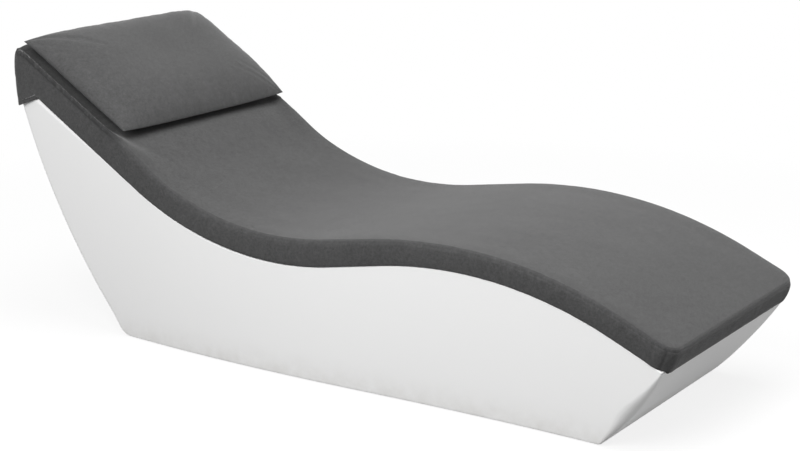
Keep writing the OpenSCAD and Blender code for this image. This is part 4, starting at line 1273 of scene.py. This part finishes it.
# ---------------------------------------------------------------- tapes and zips
def rounded_patch(length_m, width_m, r, step=0.004):
    """A grid over a rectangle with rounded corners, centred on zero."""
    rim = np.array([0, 0.0012, 0.0024, 0.0045, 0.008])
    def line(size):
        inner = np.linspace(rim[-1], size - rim[-1], max(2, int((size - 2 * rim[-1]) / step) + 1))
        return np.concatenate([rim[:-1], inner, size - rim[:-1][::-1]]) - size / 2
    a, b = np.meshgrid(line(length_m), line(width_m), indexing="ij")
    ca, cb = np.abs(a) - (length_m / 2 - r), np.abs(b) - (width_m / 2 - r)
    corner = (ca > 0) & (cb > 0)
    grow = np.where(corner, np.maximum(ca, cb) / np.maximum(np.hypot(ca, cb), 1e-12), 1)
    a2 = np.where(corner, np.sign(a) * (length_m / 2 - r + ca * grow), a)
    b2 = np.where(corner, np.sign(b) * (width_m / 2 - r + cb * grow), b)
    return a2, b2, np.minimum(length_m / 2 - np.abs(a), width_m / 2 - np.abs(b))


def tape_piece(name, surface, kind, body, node, thickness, sew=True):
    """A pair of sewn tapes on a surface. surface(across_deck, y) gives points and normals."""
    points, faces, threads, thread_faces = [], [], [], []
    size, width = 0.220, 0.050
    pitch = size + width
    for side in (-1, 1):
        a, b, e = rounded_patch(width, size, 0.006)
        rows, cols = a.shape
        place, normal = surface(a, b + side * pitch / 2)
        bulge = thickness * (0.35 + 0.65 * np.clip(e / 0.0022, 0, 1) ** 0.6)
        stitched = 0.0004 * np.exp(-((e - 0.0035) / 0.0008) ** 2)
        high = place + normal * (bulge - stitched)[..., None]
        start, count = len(points), rows * cols
        points += list(high.reshape(-1, 3)) + list(place.reshape(-1, 3))
        faces += sheet_faces(rows, cols, start, flip=True) + sheet_faces(rows, cols, start + count)
        loop = ([j for j in range(cols)] + [i * cols + cols - 1 for i in range(1, rows)]
                + [(rows - 1) * cols + j for j in range(cols - 2, -1, -1)]
                + [i * cols for i in range(rows - 2, 0, -1)])
        faces += [(start + i, start + k, start + k + count, start + i + count)
                  for i, k in zip(loop, loop[1:] + loop[:1])]
        t = np.linspace(0, 2 * math.pi, 161)
        ra, rb = width / 2 - 0.0035, size / 2 - 0.0035
        ring = np.maximum(np.abs(np.cos(t)), np.abs(np.sin(t)))
        la, lb = np.cos(t) / ring * ra, np.sin(t) / ring * rb
        line, up = surface(la, lb + side * pitch / 2)
        p, f = stitch_row(line + up * thickness * 0.92, up, 0.0036, 0.0027, 0.0003, 0.0003)
        thread_faces += [tuple(i + len(threads) for i in g) for g in f]
        threads += p
    piece = new_piece(name, points, faces, material(kind), body, [node])
    outward(piece)
    if sew:
        new_piece(name + "_stitch", threads, thread_faces, material("thread"), body)


def flipped(surface):
    """The same surface, faced from its other side."""
    def other(a, b):
        place, normal = surface(a, b)
        return place, -normal
    return other


def make_tapes():
    deck = DeckLine()
    pad = Pad(deck)
    form = PillowForm(deck)
    t, gap = 0.0011, 0.0003
    foot_s = float(deck.knots[4] + (deck.knots[5] - deck.knots[4]) / 2)
    pillow_s = form.p.length / 2 - form.p.past

    def level(s0, n):
        def surface(a, b):
            p = deck.at(s0 + a, n)
            h = deck.heading(s0 + a)
            place = np.stack([p[..., 0], b, p[..., 1]], -1)
            return place, np.stack([-np.sin(h), np.zeros_like(b), np.cos(h)], -1)
        return surface

    def on_mattress(a, b):
        s = pillow_s + a
        h = deck.heading(s)
        p = deck.at(s, pad.top(np.full_like(b, 0.4), b) + 0.0001)
        return (np.stack([p[..., 0], b, p[..., 1]], -1),
                np.stack([-np.sin(h), np.zeros_like(b), np.cos(h)], -1))

    def under_pillow(a, b):
        u, v = a / (form.p.length / 2), b / (form.p.width / 2)
        low = -form.p.depth * form.full_low(u, v) - 0.0002
        place = form.to_space(np.stack([a, b, low], -1))
        up = np.array([form.up[0], 0, form.up[1]])
        return place, np.broadcast_to(-up, place.shape)

    tape_piece("deck_hook_tape_pair", level(foot_s, 0.0001), "hook_tape", "base", "deck_hook_tapes", t)
    tape_piece("mattress_loop_tape_pair", flipped(level(foot_s, 2 * t + gap)), "loop_tape", "mattress",
               "mattress_loop_tapes", t)
    tape_piece("pillow_landing_tape_pair", on_mattress, "loop_tape", "mattress",
               "pillow_landing_tapes", t)
    tape_piece("pillow_hook_tape_pair", under_pillow, "hook_tape", "pillow", "pillow_hook_tapes", t)


def make_zip(name, origin, turn, size, body, stem):
    """A zip sewn on the cloth: two tapes, the closed coil and a row of stitches on each side.

    In its own frame Y runs along the zip and Z points out of the cloth.
    """
    c, s = math.cos(turn), math.sin(turn)
    x_axis, z_axis = np.array([c, 0, -s]), np.array([s, 0, c])

    def place(x, y, z):
        x, y, z = np.broadcast_arrays(x, y, z)
        return (np.asarray(origin) + x[..., None] * x_axis + y[..., None] * np.array([0, 1.0, 0])
                + z[..., None] * z_axis)

    half = size / 2
    points, faces = [], []
    for side in (-1, 1):
        across = np.array([0.0004, 0.0010, 0.0030, 0.0055, 0.0078, 0.0092, 0.0099, 0.0100]) * side
        y = np.linspace(-half, half, int(size / 0.004))
        x, y = np.meshgrid(across, y, indexing="xy")
        wave = 0.00012 * np.sin(y * 2 * math.pi / 0.017) * (np.abs(x) / 0.01)
        high = 0.0003 + 0.00075 - 0.0003 * np.clip((np.abs(x) - 0.009) / 0.001, 0, 1) + wave
        rows, cols = x.shape
        start, count = len(points), rows * cols
        points += list(place(x, y, high).reshape(-1, 3)) + list(place(x, y, 0 * x + 0.00008).reshape(-1, 3))
        faces += sheet_faces(rows, cols, start) + sheet_faces(rows, cols, start + count, flip=True)
        loop = ([j for j in range(cols)] + [i * cols + cols - 1 for i in range(1, rows)]
                + [(rows - 1) * cols + j for j in range(cols - 2, -1, -1)]
                + [i * cols for i in range(rows - 2, 0, -1)])
        faces += [(start + i, start + i + count, start + k + count, start + k)
                  for i, k in zip(loop, loop[1:] + loop[:1])]
    tape = new_piece(name + "_tape_strips", points, faces, material("zip_tape"), body,
                     [stem + "_zip_tape"])
    outward(tape)
    points, faces = [], []
    pitch, per = 0.0020, 8
    for side in (-1, 1):
        t = np.arange(0, (size - 0.004) / pitch * per) * 2 * math.pi / per
        line = place(side * 0.0011 + 0.0013 * np.cos(t), -half + 0.002 + pitch * t / (2 * math.pi)
                     + (pitch / 2 if side > 0 else 0), 0.0018 + 0.0006 * np.sin(t))
        p, f = rod(line, 0.00034, 4)
        faces += [tuple(i + len(points) for i in g) for g in f]
        points += p
    new_piece(name + "_coil_teeth", points, faces, material("zip_coil"), body,
              [stem + "_zip_coil"])
    points, faces = [], []
    for x in (-0.0075, 0.0075):
        y = np.linspace(-half + 0.002, half - 0.002, 200)
        line = place(np.full_like(y, x), y, np.full_like(y, 0.00108))
        up = np.broadcast_to(z_axis, line.shape)
        p, f = stitch_row(line, up, 0.0034, 0.0025, 0.00028, 0.0003)
        faces += [tuple(i + len(points) for i in g) for g in f]
        points += p
    new_piece(name + "_stitch", points, faces, material("thread"), body)


def dressed(node, kind, body, width=0.0004, segments=2):
    piece = soften(node, width, segments)
    finish_piece(piece, material(kind), body, [node])
    piece.data.set_sharp_from_angle(angle=math.radians(50))
    return piece


def make_zips():
    deck = DeckLine()
    low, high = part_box("mattress_zip_tape")
    origin = (high.x + 0.0003, 0, (low.z + high.z) / 2)
    make_zip("mattress_zip", origin, math.radians(-90), high.y - low.y, "mattress", "mattress")
    turn = deck.slope + math.radians(180 + 39)
    low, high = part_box("pillow_zip_tape")
    middle = (low + high) / 2
    origin = (middle.x - math.sin(turn) * 0.0007, 0, middle.z - math.cos(turn) * 0.0007)
    make_zip("pillow_zip", origin, turn, high.y - low.y, "pillow", "pillow")
    for stem in ("mattress", "pillow"):
        dressed(stem + "_zip_slider", "zip_metal", stem + "_slider", 0.0006, 3)
        dressed(stem + "_zip_pull", "zip_metal", stem + "_pull", 0.0004, 2)


# ---------------------------------------------------------------- small parts of the base
def make_fittings():
    dressed("glide_pads", "pad_rubber", "base", 0.0009, 3)
    dressed("pad_screws", "screw_steel", "base", 0.0004, 2)
    dressed("pad_inserts", "brass_insert", "base", 0.0004, 2)
    dressed("vent_bush", "bush_plastic", "base", 0.0005, 2)
    dressed("vent_plug", "plug_plastic", "plug", 0.0006, 3)
    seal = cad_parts["vent_seal"]
    seal.data.materials.clear()
    seal.data.materials.append(material("seal_rubber"))


# ---------------------------------------------------------------- the stage
def seen_directly(p):
    """One where a camera, glossy or transmission ray meets the surface"""
    path = p.tree.nodes.new("ShaderNodeLightPath")
    seen = [Wire(p, path.outputs[n]) for n in ("Is Camera Ray", "Is Glossy Ray", "Is Transmission Ray")]
    return (seen[0] + seen[1] + seen[2]).limited()


def make_stage():
    stage = settings("stage")
    scene = bpy.context.scene
    scene.view_settings.view_transform = "Standard"
    back = Vector((math.sin(stage.turn) * math.cos(stage.tilt),
                   -math.cos(stage.turn) * math.cos(stage.tilt), math.sin(stage.tilt)))
    camera = bpy.data.objects.new("camera", bpy.data.cameras.new("camera"))
    scene.collection.objects.link(camera)
    camera.data.lens, camera.data.sensor_width = stage.lens, 36
    camera.data.clip_end = 200
    camera.location = Vector((stage.aim_x, 0, stage.aim_z)) + back * stage.distance
    camera.rotation_mode = "QUATERNION"
    camera.rotation_quaternion = (-back).to_track_quat("-Z", "Y")
    scene.camera = camera

    floor_mesh = bpy.data.meshes.new("floor")
    reach = 60.0
    floor_mesh.from_pydata([(-reach, -reach, 0), (reach, -reach, 0), (reach, reach, 0), (-reach, reach, 0)],
                           [], [(0, 1, 2, 3)])
    floor = bpy.data.objects.new("floor", floor_mesh)
    scene.collection.objects.link(floor)
    p = Paint("Pale floor", roughness=0.9, specular_ior_level=0.1)
    seen = seen_directly(p)
    p.feed("Base Color", p.blend(seen, (0.22, 0.22, 0.22), (0.95, 0.95, 0.95)))
    away = p.node("ShaderNodeVectorMath", {"operation": "LENGTH"}, {0: p.place()}, 1)
    far = ((away - 1.3) / 1.5).limited()
    glow = p.node("ShaderNodeEmission", None, {"Color": (1.0, 1.0, 1.0), "Strength": 1.0})
    mix = p.node("ShaderNodeMixShader", None, {0: seen * (0.84 + far * 0.16)})
    output = p.tree.nodes["Material Output"]
    p.tree.links.new(p.shader.outputs[0], mix.socket.node.inputs[1])
    p.tree.links.new(glow.socket, mix.socket.node.inputs[2])
    p.tree.links.new(mix.socket, output.inputs["Surface"])
    floor.data.materials.append(p.material)

    world = bpy.data.worlds.new("studio")
    scene.world = world
    world.use_nodes = True
    tree = world.node_tree
    tree.nodes.clear()
    even, plain = tree.nodes.new("ShaderNodeBackground"), tree.nodes.new("ShaderNodeBackground")
    even.inputs["Strength"].default_value = stage.sky
    plain.inputs["Strength"].default_value = 1.0
    even.inputs["Color"].default_value = plain.inputs["Color"].default_value = (1, 1, 1, 1)
    path, mix = tree.nodes.new("ShaderNodeLightPath"), tree.nodes.new("ShaderNodeMixShader")
    output = tree.nodes.new("ShaderNodeOutputWorld")
    tree.links.new(path.outputs["Is Camera Ray"], mix.inputs[0])
    tree.links.new(even.outputs[0], mix.inputs[1])
    tree.links.new(plain.outputs[0], mix.inputs[2])
    tree.links.new(mix.outputs[0], output.inputs["Surface"])

    for name, place, size, power in (("near_lamp", (0.3, -3.0, 2.65), 2.5, stage.key),
                                     ("top_lamp", (0.8, 0.1, 3.5), 3.2, stage.top)):
        lamp = bpy.data.lights.new(name, "AREA")
        lamp.shape, lamp.size, lamp.energy = "DISK", size, power
        thing = bpy.data.objects.new(name, lamp)
        scene.collection.objects.link(thing)
        thing.location = place
        thing.rotation_mode = "QUATERNION"
        thing.rotation_quaternion = (Vector((0, 0, 0.35)) - Vector(place)).to_track_quat("-Z", "Y")


# ---------------------------------------------------------------- operators
class LoungerPiece:
    """What every operator here shares: it builds, and an error stops the script."""
    bl_options = {"REGISTER", "UNDO"}
    build = None

    def execute(self, context):
        type(self).build()
        return {"FINISHED"}


class LOUNGER_OT_stage(LoungerPiece, bpy.types.Operator):
    """Sets up the camera, the floor and the lamps"""
    bl_idname = "lounger.stage"
    bl_label = "Stage"
    build = staticmethod(make_stage)


class LOUNGER_OT_base(LoungerPiece, bpy.types.Operator):
    """Builds the moulded base with the recesses in its underside"""
    bl_idname = "lounger.base"
    bl_label = "Moulded base"
    build = staticmethod(make_base_shell)


class LOUNGER_OT_fittings(LoungerPiece, bpy.types.Operator):
    """Dresses the floor pads, screws, inserts and the drain plug"""
    bl_idname = "lounger.fittings"
    bl_label = "Pads and plug"
    build = staticmethod(make_fittings)


class LOUNGER_OT_mattress(LoungerPiece, bpy.types.Operator):
    """Builds the mattress: top panel, side band, bottom panel and foam core"""
    bl_idname = "lounger.mattress"
    bl_label = "Mattress"
    build = staticmethod(make_mattress_cover)


class LOUNGER_OT_threads(LoungerPiece, bpy.types.Operator):
    """Sews the topstitching round the mattress"""
    bl_idname = "lounger.threads"
    bl_label = "Topstitching"
    build = staticmethod(make_seam_threads)


class LOUNGER_OT_pocket(LoungerPiece, bpy.types.Operator):
    """Builds the pocket over the head end of the base"""
    bl_idname = "lounger.pocket"
    bl_label = "Head pocket"
    build = staticmethod(make_pocket)


class LOUNGER_OT_pillow(LoungerPiece, bpy.types.Operator):
    """Sews and fills the pillow"""
    bl_idname = "lounger.pillow"
    bl_label = "Pillow"
    build = staticmethod(make_pillow)


class LOUNGER_OT_tapes(LoungerPiece, bpy.types.Operator):
    """Sews on the hook and loop tapes"""
    bl_idname = "lounger.tapes"
    bl_label = "Hook and loop tapes"
    build = staticmethod(make_tapes)


class LOUNGER_OT_zips(LoungerPiece, bpy.types.Operator):
    """Builds both zips with their sliders and pulls"""
    bl_idname = "lounger.zips"
    bl_label = "Zips"
    build = staticmethod(make_zips)


OPERATORS = (LOUNGER_OT_stage, LOUNGER_OT_base, LOUNGER_OT_fittings, LOUNGER_OT_mattress,
             LOUNGER_OT_threads, LOUNGER_OT_pocket, LOUNGER_OT_pillow, LOUNGER_OT_tapes,
             LOUNGER_OT_zips)


class LOUNGER_PT_panel(bpy.types.Panel):
    """Lists the lounger's pieces and sizes"""
    bl_idname = "LOUNGER_PT_panel"
    bl_label = "Spa lounger"
    bl_space_type = "VIEW_3D"
    bl_region_type = "UI"
    bl_category = "Lounger"

    def draw(self, context):
        for operator in OPERATORS:
            self.layout.operator(operator.bl_idname)
        for name in GROUPS:
            box = self.layout.box()
            box.label(text=name.capitalize())
            for key in GROUPS[name].__annotations__:
                box.prop(settings(name), key)


def register():
    for name, group in GROUPS.items():
        bpy.utils.register_class(group)
        setattr(bpy.types.Scene, "lounger_" + name, bpy.props.PointerProperty(type=group))
    for operator in OPERATORS:
        bpy.utils.register_class(operator)
    bpy.utils.register_class(LOUNGER_PT_panel)


def unregister():
    bpy.utils.unregister_class(LOUNGER_PT_panel)
    for operator in reversed(OPERATORS):
        bpy.utils.unregister_class(operator)
    for name, group in GROUPS.items():
        delattr(bpy.types.Scene, "lounger_" + name)
        bpy.utils.unregister_class(group)


def main():
    register()
    for operator in OPERATORS:
        group, name = operator.bl_idname.split(".")
        getattr(getattr(bpy.ops, group), name)()


if __name__ == "__main__":
    main()
